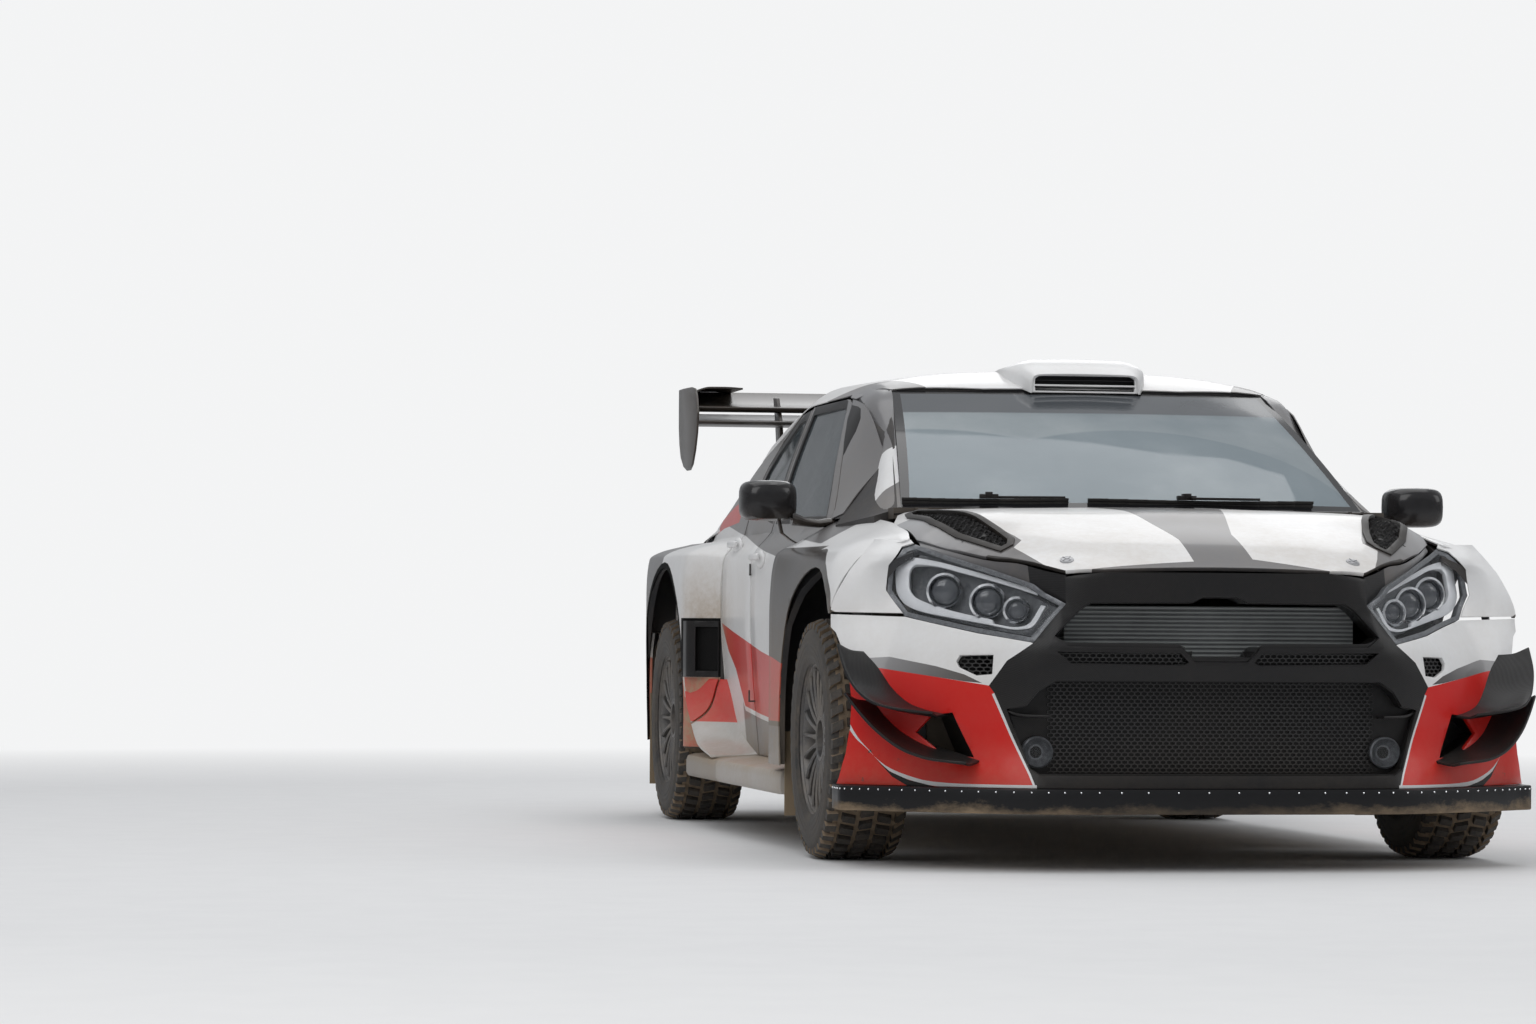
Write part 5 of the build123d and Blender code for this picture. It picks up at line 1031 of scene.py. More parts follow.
# Splitter: flat composite board under the bumper with a deep front lip, bolted up from below.
# Mud is caked along its foot and rivets run round its edge.
SPLITTER_TOP, SPLITTER_FOOT = 0.213, 0.1485
SPLITTER_PLAN = mm([(0, -790), (300, -785), (475, -766), (640, -684), (780, -585), (880, -505),
    (936.5, -452), (936.5, -360)])
RIVET_PITCH = 0.062
split_paint = Finish("splitter_board", Specular_IOR_Level=0.25)
x, y, z = split_paint.axes()
clods = split_paint.noise(9.0, 6.0, 0.7, stretch=(1.0, 1.0, 2.2))
caked = ((z - 0.148) * -26.0 + clods * 2.4 - 0.55).clamp() * (x.size() * 1.3 + 0.15).clamp()
split_paint.out(Base_Color=split_paint.mix(caked, (0.008, 0.008, 0.009), (0.30, 0.22, 0.14)),
                Roughness=caked * 0.5 + 0.38)
split_paint.bump(split_paint.noise(140.0, 3.0) * (caked + 0.15), 0.5, 0.002)
half = [(u, front(s)) for u, s in evenly(SPLITTER_PLAN, 4)]
edge = flipped(half[:0:-1]) + half
bm = bmesh.new()
board = plate(bm, [(u, v, SPLITTER_TOP) for u, v in edge])
for item in bmesh.ops.extrude_face_region(bm, geom=[board])["geom"]:
    if isinstance(item, bmesh.types.BMVert):
        item.co.z = SPLITTER_FOOT
put(built("splitter_lip", bm, [split_paint.data], soft=0.004), "chassis", "splitter")
bm = bmesh.new()
for (ua, va), (ub, vb) in zip(edge, edge[1:]):
    count = max(1, round(math.hypot(ub - ua, vb - va) / RIVET_PITCH))
    for t in [(k + 0.5) / count for k in range(count)]:
        ball(bm, 8, 5, 0.0026, move=(ua + (ub - ua) * t, va + (vb - va) * t, 0.204))
put(built("splitter_rivets", bm, [chrome_material]), "chassis")

# Small round driving lamps in the mouth's corners, with a short blade above each.
# Each is a clear dome in a dark turned bowl.
SMALL_LAMP = (0.462, front(-0.672), 0.304)
BOWL = mm([(40, 30), (41, -4), (37, -8), (34, 0), (20, 16), (2, 20)])
FIN_ROWS = mm([[(440, -1928, 398), (440, -1995, 400)], [(490, -1920, 398), (495, -1972, 401)],
    [(528, -1900, 404), (530, -1942, 408)], [(542, -1890, 420), (545, -1924, 426)]])
bm = bmesh.new()
ball(bm, 28, 14, 0.036, (1, 0.55, 1), SMALL_LAMP)
put_pair(built("small_lamp_left", bm, [lens_material]), "chassis")
bm = bmesh.new()
lathe(bm, [(r, d, 0) for r, d in BOWL], (0, 1, 0), 36)
bmesh.ops.translate(bm, vec=SMALL_LAMP, verts=bm.verts)
put_pair(built("small_lamp_bowl_left", bm, [bowl_material], thick=0.002), "chassis")
bm = drawn(lambda bm: sheet(bm, FIN_ROWS, 4, 2))
put_pair(built("mouth_fin_left", bm, [black_material], (0, 0, 1), 0.006, 0.001), "chassis")

# Windscreen: laminated glass with a grey band along its top and a black printed edge, bonded to the posts.
# Dust is wiped off in two arcs; two wipers lie along its foot on the black cowl.
SCREEN_FOOT = mm(((0, 20), (330, 52), (520, 92), (652, 146)))
SCREEN_TOP = mm(((0, 722), (278, 741), (437, 770), (548, 800)))
SCREEN_FOOT_Z, SCREEN_RISE, SCREEN_BULGE = 0.946, 0.354, 0.014
COWL_BACK = mm(((0, 24, 949), (330, 56, 949), (520, 94, 949), (660, 150, 950)))
COWL_FRONT = mm(((0, -4, 944), (330, 14, 942), (560, 52, 934), (690, 62, 930)))


def screen_sheet(bm):
    rows = []
    for t in (0, 0.25, 0.5, 0.75, 1):
        bulge = SCREEN_BULGE * 4 * t * (1 - t)
        z = SCREEN_FOOT_Z + SCREEN_RISE * t + 0.9 * bulge
        rows.append(mirrored_row([(u0 + (u1 - u0) * t, front(s0 + (s1 - s0) * t) - 0.45 * bulge, z)
                                  for (u0, s0), (u1, s1) in zip(SCREEN_FOOT, SCREEN_TOP)]))
    sheet(bm, rows, 4, 5)


screen_paint = Finish("windscreen_glass", IOR=1.5, Coat_Weight=0.0)
x, y, z = screen_paint.axes()
from_side = screen_paint.line(z, [(0.946, 0.652), (1.300, 0.548)]) - x.size()
border = (0.022 - from_side).step().most((0.964 - z).step()).most((z - 1.291).step())
top_band = (z - 1.232).step(0.004)
wiped = [(0.60 - ((x - hub) * (x - hub) + (z - 0.90) * (z - 0.90) * 4.6).power(0.5)).step(0.01)
         for hub in (0.05, -0.52)]
film = screen_paint.noise(3.0, 3.0, 0.5)
fleck = screen_paint.noise(60.0, 2.0)
dirt = (film * 0.60 + fleck * 0.06 - 0.16 - wiped[0].most(wiped[1]) * 0.20).clamp()
tone = screen_paint.mix(film, (0.20, 0.25, 0.28), (0.33, 0.39, 0.42))
for share, colour in ((dirt, (0.42, 0.42, 0.40)), (top_band, (0.075, 0.082, 0.090)), (border, (0.012, 0.012, 0.013))):
    tone = screen_paint.mix(share, tone, colour)
screen_paint.out(Base_Color=tone, Roughness=(dirt * 0.4 + 0.03).clamp(),
                 Alpha=(dirt * 0.5 + 0.64 + top_band * 0.30 + border).clamp())
screen = built("windscreen_pane", drawn(screen_sheet), [screen_paint.data], (0, -1, 1), 0.005)
put(screen, "chassis", "windscreen")
cowl_rows = [mirrored_row([(u, front(s), z) for u, s, z in line]) for line in (COWL_BACK, COWL_FRONT)]
bm = drawn(lambda bm: sheet(bm, cowl_rows, 3, 4))
put(built("cowl_skin", bm, [trim_material], (0, 0, 1), 0.004), "chassis")

# Wipers: a rubber blade under a flat rail, with a hinge block and a stub of its arm.
# They lie parked on the glass just behind the bonnet's back edge.
WIPERS = ((-0.645, -0.205, -0.420), (-0.150, 0.500, 0.125))
RAIL_PARTS = 12
HINGE_BLOCKS = mm((((0, -10, 8), (52, 20, 12)), ((0, -10, 14), (20, 26, 12)), ((110, -14, 6), (200, 12, 7))))
bm = bmesh.new()
for start, end, hub in WIPERS:
    line = []
    for k in range(RAIL_PARTS + 1):
        t = k / RAIL_PARTS
        u = start + (end - start) * t
        s = float(np.interp(abs(u), *zip(*SCREEN_FOOT))) + 0.034
        line.append(Vector((u, front(s), 0.967 - 0.004 * math.sin(math.pi * t))))
    for low, high, half in ((-0.010, 0.000, 0.0025), (0.000, 0.008, 0.006)):
        for first, second in zip(line, line[1:]):
            span = second - first
            block(bm, (span.length + 0.002, half * 2, high - low),
                  (first + second) / 2 + Vector((0, -0.010, (low + high) / 2 + 0.002)),
                  [("Z", math.atan2(span.y, span.x))])
    middle = Vector((hub, front(float(np.interp(abs(hub), *zip(*SCREEN_FOOT[:3]))) + 0.030), 0.972))
    for shift, size in HINGE_BLOCKS:
        block(bm, size, middle + Vector(shift), [("Z", 0.12 if hub > 0 else -0.20)])
put(built("wiper_blades", bm, [trim_material], soft=0.001), "chassis", "wipers")

# Door mirrors: smooth dark heads on a flat arm and a stay rod, bolted to the front doors.
# A head is a row of rings (behind the axle, left, right, low, high), each with its own squareness.
HEAD_RINGS = mm(((520, 905, 985, 960, 1000), (524, 885, 1003, 938, 1018), (536, 870, 1016, 923, 1028),
    (560, 863, 1023.5, 918, 1031.5), (600, 862, 1024.5, 918, 1031.5), (619, 864, 1022, 920, 1029)))
SQUARENESS = (2.2, 2.6, 3.2, 4.0, 4.5, 4.5)
ARM_RINGS = mm([(880, 570, 926, 26, 20), (840, 580, 916, 24, 13), (800, 590, 912, 28, 12),
    (757, 612, 918, 45, 14)])
STAY_LINE = mm([(915, 575, 921), (905, 585, 885), (872, 640, 868), (832, 690, 852)])
mirror_paint = lacquer("mirror_black", 0.25, 0.06)
x, y, z = mirror_paint.axes()
mirror_material = dusty(mirror_paint, (0.010, 0.010, 0.012), (0.96 - z).clamp() * 2.0 + 0.02, 0.2)
mirror_glass = grained("mirror_glass", 25.0, 3.0, (0.60, 0.62, 0.64), (0.75, 0.77, 0.78), Metallic=1.0,
                       Roughness=0.03)[0].data


def around(count):
    """Cosine and sine of evenly spaced angles."""
    return [(math.cos(FULL_TURN * k / count), math.sin(FULL_TURN * k / count)) for k in range(count)]


def squared(value, power):
    return math.copysign(abs(value) ** (2 / power), value)


bm = bmesh.new()
rings = []
for (s, left, right, low, high), power in zip(HEAD_RINGS, SQUARENESS):
    ring = []
    for c, d in around(32):
        u = (left + right) / 2 + (right - left) / 2 * squared(c, power)
        z = (low + high) / 2 + (high - low) / 2 * squared(d, power)
        ring.append(bm.verts.new((u, front(s + 0.25 * max(0.0, 0.94 - u)), z)))
    rings.append(ring)
bridge(bm, rings)
bm.faces.ensure_lookup_table()
pane = bm.faces[-1]
bmesh.ops.inset_region(bm, faces=[pane], thickness=0.007, depth=0.0)
bmesh.ops.translate(bm, vec=(0, -0.006, 0), verts=pane.verts)
pane.material_index = 1
head = built("mirror_head_left", bm, [mirror_material, mirror_glass], sharp=50)
bm = bmesh.new()
bridge(bm, [[bm.verts.new((u, front(s) + deep * c, z + tall * d)) for c, d in around(14)]
            for u, s, z, deep, tall in ARM_RINGS])
bridge(bm, [[bm.verts.new((u + 0.006 * c, front(s) + 0.009 * d, z + 0.003 * d)) for c, d in around(10)]
            for u, s, z in STAY_LINE])
mount = built("mirror_arm_left", bm, [mirror_material], sharp=50)
put_pair(head, "front_door_{}", "mirror_{}")
put_pair(mount, "front_door_{}")

# Door handles: white pull grips over shallow cups.
# The front one sits lower and further out than the rear one.
for end, s, z, side_x in (("front", 1.330, 0.822, 0.835), ("rear", 1.860, 0.868, 0.812)):
    bm = bmesh.new()
    grip = block(bm, (0.014, 0.125, 0.020))
    bmesh.ops.bevel(bm, geom=list({e for v in grip for e in v.link_edges}), affect="EDGES", offset=0.006, segments=3,
                    profile=0.5, material=-1)
    bmesh.ops.translate(bm, vec=(side_x + 0.020, front(s), z + 0.006), verts=bm.verts)
    ball(bm, 24, 12, 1.0, (0.012, 0.062, 0.028), (side_x, front(s), z))
    put_pair(built(end + "_handle_left", bm, [white_material]), end + "_door_{}")

# Roof scoop: white composite hood riveted over the roof hatch, with two dark slots in its mouth.
# Two level vanes and a dark back close it inside; the back is painted shade for the scoop's depth. Rows are (behind
# the axle, half width, low, high, corner).
SCOOP_ROWS = mm(((702, 160, 1296, 1352, 20), (730, 172, 1305, 1372, 30), (780, 192, 1316, 1393, 40),
    (860, 204, 1338, 1402, 50), (960, 200, 1352, 1397, 50), (1075, 188, 1360, 1382, 40)))
SCOOP_FACE = mm([(-158, 1298), (158, 1298), (156, 1338), (140, 1351), (-140, 1351), (-156, 1338)])
SCOOP_SLOTS = mm([[(-146, 1303), (146, 1303), (148, 1316.5), (-148, 1316.5)], [(-148, 1321.5),
    (148, 1321.5), (147, 1337), (134, 1346), (-134, 1346), (-147, 1337)]])
scoop_material = dusty(lacquer("scoop_white"), WHITE, 0.16)
rows = []
for s, half, low, high, corner in SCOOP_ROWS:
    line = [(0.0, high), (half - corner * 1.6, high - 0.002), (half - corner * 0.5, high - corner * 0.35),
            (half, (low + high) / 2), (half + 0.002, low)]
    rows.append(mirrored_row([(u, front(s), z) for u, z in line]))
hood = built("scoop_hood", drawn(lambda bm: sheet(bm, rows, 4, 4)), [scoop_material], (0, 0, 1), 0.006, 0.001)
bm = drawn(lambda bm: plate(bm, [(u, front(0.708), z) for u, z in SCOOP_FACE]),
           *[(slot, NOSE, "hole") for slot in SCOOP_SLOTS])
mouth = built("scoop_mouth", bm, [scoop_material], (0, -1, 0), 0.012, 0.001)
# Dark back behind the slots, painted shade; the two vanes stand just in front of it.
bm = drawn(lambda bm: plate(bm, [(u, front(0.745), z) for u, z in SCOOP_FACE]))
for level in (1.3135, 1.334):
    block(bm, (0.290, 0.030, 0.0015), (0, front(0.730), level))
vanes_and_shade_back = built("scoop_throat", bm, [inner_material])
for piece, node in ((hood, "roof_scoop"), (mouth, None), (vanes_and_shade_back, None)):
    put(piece, "chassis", node)

# Wheels: one-piece alloy rims with thin straight spokes, painted dark grey and dusty, and gravel tyres.
# The tyre's casing is a turned form with ringed walls; five rows of rubber blocks stand on it, packed with mud.
# Profiles are (along the axle, radius); block rows are (middle, width, count, shift, slant).
TYRE_RADIUS, WHEEL_X = 0.322, 0.820
TREAD_FLOOR, TREAD_TOP, BLOCK_DEPTH = 0.3095, 0.3213, 0.016
TYRE_WALL = mm([(102, 203), (104, 212), (108, 219), (110.5, 228), (109.5, 231), (111.5, 238), (112, 246),
    (110.8, 249), (112, 253), (112.2, 262), (111, 265), (111.8, 270), (110, 282), (106, 293), (100, 302),
    (88, 307.5), (45, 309.5)])
ROWS_OF_BLOCKS = ((-0.092, 0.030, 46, 0.0, 0.4), (-0.048, 0.038, 44, 0.5, -0.25), (0.0, 0.036, 44, 0.0, 0.25),
                  (0.048, 0.038, 44, 0.5, -0.25), (0.092, 0.030, 46, 0.0, 0.4))
RIM = mm([(94, 212), (98, 215.5), (101.5, 214), (102, 208), (98, 203), (86, 200), (70, 196), (50, 184),
    (10, 180), (-60, 186), (-85, 200), (-94, 203.5), (-100, 215.5), (-101, 208), (-90, 197), (-62, 181),
    (10, 175), (48, 178), (68, 189), (84, 193), (91.5, 197)])
SPOKES = 20
SPOKE_RINGS = mm(((198, 70, 90, 6.8), (150, 66, 92, 4.8), (100, 60, 89, 5), (60, 50, 82, 7.4),
    (52, 46, 78, 8)))
HUB = mm([(30, 64), (76, 63), (82, 60), (83, 54), (80, 50), (34, 47), (30, 40), (26, 40)])
HUB_CAP = mm([(30, 41), (40, 38), (42, 24), (52, 21), (53, 0.5)])
DISC = mm([(2, 52), (12, 52), (12, 98), (12, 158), (10, 160), (4, 160), (2, 158), (2, 98)])
ALONG_AXLE = [("Y", math.pi / 2)]
rim_paint = Finish("rim_paint", Metallic=0.55)
grain = rim_paint.noise(130.0, 3.0)
veil = (rim_paint.noise(9.0, 5.0) * 1.2 + grain * 0.5 - 0.52).clamp()
rim_paint.out(Base_Color=rim_paint.mix(veil, (0.085, 0.088, 0.095), (0.30, 0.26, 0.215)), Roughness=veil * 0.5 + 0.32)
rim_paint.bump(grain * veil, 0.3, 0.001)
disc_material = grained("brake_disc", 300.0, 2.0, (0.10, 0.088, 0.075), (0.20, 0.175, 0.15), (0.2, 0.4),
                        Metallic=1.0)[0].data
rubber = Finish("tyre_rubber")
grain = rubber.noise(85.0, 4.0, 0.7)
wear = (grain * 0.7 + rubber.noise(14.0, 5.0, 0.7) * 0.9 - 0.62).clamp()
rubber.out(Base_Color=rubber.mix(wear, (0.018, 0.017, 0.016), (0.17, 0.135, 0.10)), Roughness=wear * 0.3 + 0.6)
rubber.bump(grain, 0.35, 0.0015)
mud = Finish("dried_mud")
grain = mud.noise(60.0, 5.0, 0.75)
mud.out(Base_Color=mud.mix(grain, (0.10, 0.072, 0.048), (0.30, 0.225, 0.15)), Roughness=grain * 0.2 + 0.75)
mud.bump(grain, 0.8, 0.003)


def turned(bm, profile, steps):
    lathe(bm, [(d, 0, r) for d, r in profile], (1, 0, 0), steps)


bm = bmesh.new()
turned(bm, TYRE_WALL + [(0.0, 0.310)] + flipped(TYRE_WALL)[::-1], 96)
for middle, wide, count, shift, slant in ROWS_OF_BLOCKS:
    pitch = FULL_TURN / count
    for k in range(count):
        long_share = 0.60 + 0.05 * ((k * 7) % 3 - 1)
        corners = block(bm, (1, 1, 1))
        high = [v for v in corners if v.co.z > 0]
        bmesh.ops.scale(bm, vec=(wide, pitch * TREAD_FLOOR * long_share, BLOCK_DEPTH), verts=corners)
        bmesh.ops.scale(bm, vec=(0.90, 0.88, 1.0), verts=high)
        for v in corners:
            v.co.y += v.co.x * slant
            v.co.x += middle
            v.co.z += TREAD_TOP - BLOCK_DEPTH / 2
            if abs(middle) > 0.08:
                v.co.z -= max(0.0, abs(v.co.x) - 0.080) * 0.42
        pose(bm, corners, turns=[("X", (k + shift) * pitch)])
for face in bm.faces:
    middle = face.calc_center_median()
    if 0.300 < math.hypot(middle.y, middle.z) < 0.3115 and abs(middle.x) < 0.093:
        face.material_index = 1
tyre_model = built("tyre_model", bm, [rubber.data, mud.data], sharp=32)

bm = bmesh.new()
turned(bm, RIM + RIM[:1], 72)
for k in range(SPOKES):
    spoke = []
    for reach, back, face, half in SPOKE_RINGS:
        section = ((back, -half * 0.7), (back, half * 0.7), (face - 0.004, half), (face, half * 0.35),
                   (face, -half * 0.35), (face - 0.004, -half))
        spoke.append([bm.verts.new((d, w, reach)) for d, w in section])
    bridge(bm, spoke)
    pose(bm, [v for ring in spoke for v in ring], turns=[("X", FULL_TURN * k / SPOKES)])
turned(bm, HUB, 48)
turned(bm, HUB_CAP, 24)
for k in range(5):
    nut = peg(bm, 6, 0.0085, 0.0085, 0.018, (0.040, 0, 0.034), ALONG_AXLE)
    pose(bm, nut, turns=[("X", FULL_TURN * k / 5)])
valve = peg(bm, 10, 0.003, 0.0025, 0.022, (0.090, 0.0, 0.188), ALONG_AXLE)
pose(bm, valve, turns=[("X", 0.13)])
rim_model = built("rim_model", bm, [rim_paint.data], sharp=40)
bm = bmesh.new()
turned(bm, DISC + DISC[:1], 72)
for k in range(30):
    for ring in range(2):
        dot = peg(bm, 8, 0.0035, 0.0035, 0.0008, (0.0122, 0, 0.118 + 0.022 * ring), ALONG_AXLE)
        pose(bm, dot, turns=[("X", FULL_TURN * (k + ring * 0.5) / 30)])
        for face in {f for v in dot for f in v.link_faces}:
            face.material_index = 1
disc_model = built("disc_model", bm, [disc_material, inner_material], sharp=40)
for label, sign, axle_y, rolled in (("front_left", 1, front(0.0), 0.1), ("front_right", -1, front(0.0), 0.35),
                                    ("rear_left", 1, rear(0.0), 0.6), ("rear_right", -1, rear(0.0), 0.02)):
    for kind, model, node, slot in (("tyre", tyre_model, "tyre_" + label, "tyre_rubber"),
                                    ("rim", rim_model, "wheel_" + label, "rim_grey"),
                                    ("disc", disc_model, None, "rim_grey")):
        bm = bmesh.new()
        bm.from_mesh(model.data)
        pose(bm, bm.verts, turns=[("Z", 0.0 if sign > 0 else math.pi), ("X", rolled)],
             move=(sign * WHEEL_X, axle_y, TYRE_RADIUS))
        name = f"{kind}_{label}_model"
        mesh = mesh_of(name, bm, model.data.materials)
        mesh.set_sharp_from_angle(angle=math.radians(35))
        put(placed(name, mesh), "roll_" + label, node)
for model in (tyre_model, rim_model, disc_model):
    bpy.data.objects.remove(model)

# Tail: composite tailgate with a dark screen, red and clear lamps wrapped round the corners, and a deep rear bumper.
# The tailgate hinges at the roof; the bumper's middle is a dark diffuser with upright blades.
GATE_ROWS = mm(((0, ((-185, 1262), (130, 1178), (450, 1062), (600, 992), (645, 935), (652, 790),
    (650, 642))), (300, ((-185, 1251), (130, 1166), (450, 1050), (592, 986), (638, 930), (645, 788),
    (643, 642))), (566, ((-185, 1208), (130, 1112), (436, 1018), (566, 978), (622, 925), (634, 786),
    (636, 642)))))
REAR_PANE = mm([(440, 1190), (470, 1710), (-470, 1710), (-440, 1190)])
PANE_FRAME = mm([(462, 1165), (494, 1735), (-494, 1735), (-462, 1165)])


def gate_sheet(bm):
    half = [[(u, rear(r), z) for r, z in points] for u, points in GATE_ROWS]
    sheet(bm, [[(-u, y, z) for u, y, z in row] for row in reversed(half[1:])] + half, 6, 5)


gate_paint = lacquer("gate_paint")
x, y, z = gate_paint.axes()
slope = gate_paint.line(x.size(), [(0.0, 0.80), (0.30, 0.82), (0.60, 0.93)])
gate_material = dusty(gate_paint, gate_paint.mix((slope - z).step(), WHITE, GREY), (1.05 - z).clamp() * 1.3 + 0.15)
gate = built("tailgate_skin", drawn(gate_sheet, (PANE_FRAME, PLAN, 1), (REAR_PANE, PLAN, "hole")),
             [gate_material, trim_material, inner_material], (0, 1, 0.5), 0.030, 0.002, back=2)
rear_pane = built("rear_pane", drawn(gate_sheet, (REAR_PANE, PLAN, "keep"), move=(0, -0.003, -0.006)),
                  [glass_material], (0, 1, 1), 0.004)
put(gate, "tail_lid", "tailgate")
put(rear_pane, "tail_lid", "tailgate_glass")

# Rear corners: the quarter's shoulder beside the tailgate, the skin round each lamp and the lamp itself.
# Corner rows are (height, (across, behind the rear axle) ...).
SHOULDER_ROWS = mm(((-195, (1217, 1214.5, 1199, 1171, 1150, 1113, 1062, 980)), (0,
    (1163, 1161, 1150, 1122, 1104, 1080, 1033, 955)), (200, (1106, 1104, 1096, 1072, 1055, 1038, 996, 935)),
    (330, (1068, 1067, 1062, 1040.5, 1024, 1006, 968, 925)), (420,
    (1043, 1042, 1035, 1012, 996, 976, 950, 918)), (500, (1021, 1020, 1011, 987, 971, 950, 931, 905)), (560,
    (1005, 1004, 993, 969, 952, 931, 914, 890)), (602, (993, 993, 981, 957, 939, 919, 902, 875))))
SHOULDER_WIDTHS = mm((575, 592, 611, 631, 646, 662, 684, 716))
CORNER_ROWS = mm(((598, ((850, 545), (812, 600), (735, 648), (640, 664), (574, 656))), (690, ((836, 545),
    (806, 596), (730, 638), (640, 652), (574, 644))), (760, ((812, 545), (792, 590), (722, 632), (640, 646),
    (574, 640))), (830, ((780, 545), (768, 592), (712, 628), (640, 643), (574, 638))), (900, ((722, 535),
    (714, 580), (680, 618), (634, 636), (574, 637))), (930, ((690, 520), (680, 575), (655, 607), (615, 630),
    (574, 634))), (962, ((660, 500), (652, 560), (632, 600), (604, 614), (574, 618))), (996, ((640, 440),
    (630, 500), (612, 560), (594, 596), (574, 604)))))
TAIL_LAMP = mm([(574, 768), (700, 758), (850, 768), (850, 885), (700, 905), (620, 880), (574, 872)])
lamp_red = Finish("tail_lamp_red", Roughness=0.08, Coat_Weight=1.0, Coat_Roughness=0.03)
x, y, z = lamp_red.axes()
ribs = z.wave(420.0)
bright = (z - 0.855).step(0.003) * (x.size() - 0.62).step(0.003)
tone = lamp_red.mix(ribs * 0.5, (0.24, 0.006, 0.006), (0.50, 0.02, 0.015))
lamp_red.out(Base_Color=lamp_red.mix(bright, tone, (0.55, 0.56, 0.58)))
lamp_red.bump(ribs, 0.25, 0.001)


def corner_sheet(bm):
    sheet(bm, [[(u, rear(r), z) for u, r in points] for z, points in CORNER_ROWS], 5, 5)


shoulder = [[(u, rear(r), z) for u, z in zip(SHOULDER_WIDTHS, heights)] for r, heights in SHOULDER_ROWS]
bm = drawn(lambda bm: sheet(bm, shoulder, 4, 3))
put_pair(built("tail_shoulder_left", bm, [side_material], (0.5, 0, 1), 0.003), "chassis")
bm = drawn(corner_sheet, (shrunk(TAIL_LAMP, -0.006), NOSE, 1), (TAIL_LAMP, NOSE, "hole"))
put_pair(built("tail_corner_left", bm, [gate_material, trim_material], (0.5, 1, 0), 0.004), "chassis")
bm = drawn(corner_sheet, (shrunk(TAIL_LAMP, 0.002), NOSE, "keep"))
put_pair(built("tail_lamp_cover_left", bm, [lamp_red.data], (0.5, 1, 0), 0.006, 0.001), "chassis",
         "tail_lamps")

# Rear bumper: one moulding in white and red with a dark middle, two corner vents, the pipe's hole and a diffuser.
# A ledge on its top runs in under the tailgate; the lid shuts on a sill behind it.
TAIL_ROWS = mm(((226, ((0, 690), (300, 688), (555, 680), (680, 650), (765, 600), (840, 545), (885, 490),
    (912, 404))), (300, ((0, 715), (300, 713), (558, 702), (690, 672), (775, 618), (850, 556), (892, 500),
    (917, 404))), (430, ((0, 738), (300, 736), (560, 726), (700, 690), (785, 636), (860, 570), (902, 508),
    (919, 404))), (520, ((0, 738), (300, 736), (560, 724), (698, 688), (782, 632), (858, 564), (900, 504),
    (918, 404))), (599, ((0, 726), (300, 723), (560, 712), (690, 678), (772, 624), (842, 560), (886, 500),
    (910, 404)))))
MIDDLE_DARK = mm([(470, 200), (520, 330), (470, 400), (-470, 400), (-520, 330), (-470, 200)])
REAR_VENT = mm([(640, 300), (655, 440), (740, 470), (820, 450), (835, 320)])
DIFFUSER_MOUTH = mm([(300, 200), (330, 300), (180, 350), (-180, 350), (-330, 300), (-300, 200)])
SILL_ROWS = mm(((600, 603), (606, 634), (560, 638)))
tail_paint = lacquer("tail_bumper_paint")
x, y, z = tail_paint.axes()
sweep_low = tail_paint.line(x.size(), [(0.0, 0.300), (0.45, 0.325), (0.70, 0.420), (0.92, 0.520)])
tail_material = dusty(tail_paint, tail_paint.mix((sweep_low - z).step(), WHITE, RED), (0.75 - z).clamp() * 2.2 + 0.25)
cuts = [(MIDDLE_DARK, NOSE, 1)]
for outline in (REAR_VENT, flipped(REAR_VENT)):
    cuts += [(shrunk(outline, -0.010), NOSE, 1), (outline, NOSE, "hole")]
cuts += [(circle(0.0, 0.250, 0.062, 28), NOSE, "hole"), (DIFFUSER_MOUTH, NOSE, "hole")]
rows = [mirrored_row([(u, rear(r), z) for u, r in points]) for z, points in TAIL_ROWS]
tail_skin = built("rear_bumper_skin", drawn(lambda bm: sheet(bm, rows, 5, 4), *cuts),
                  [tail_material, black_material, inner_material], (0, 1, 0), 0.008, 0.002, back=2)
put(tail_skin, "chassis", "rear_bumper")
top_line = TAIL_ROWS[-1][1][:-1]
ledge = [[(u, rear(r), 0.5985), (u * 0.995, rear(r - 0.006), 0.6045), (u * 0.93, rear(r - 0.060), 0.607),
          (u * 0.90, rear(r - 0.085), 0.640)] for u, r in flipped(top_line[:0:-1]) + top_line]
put(built("rear_bumper_ledge", drawn(lambda bm: sheet(bm, ledge, 3, 2)), [tail_material], (0, 0, 1), 0.004),
    "chassis")
rows = [mirrored_row([(0, rear(r), z), (0.600, rear(r - 0.012), z)]) for r, z in SILL_ROWS]
put(built("gate_sill", drawn(lambda bm: sheet(bm, rows, 3, 8)), [trim_material], (0, 1, 0), 0.003),
    "chassis")
bm = bmesh.new()
for u in (-0.240, -0.160, -0.080, 0.080, 0.160, 0.240):
    blade = block(bm, (0.006, 0.230, 0.115))
    for v in blade:
        if v.co.z < 0 and v.co.y > 0:
            v.co.y -= 0.06
    pose(bm, blade, move=(u, rear(0.605), 0.238))
for sign in (1, -1):
    for level in (0.340, 0.375, 0.410):
        block(bm, (0.190, 0.006, 0.012), (sign * 0.738, rear(0.622), level), [("Z", -sign * 0.60)])
put(built("diffuser_blades", bm, [black_material], soft=0.001), "chassis")

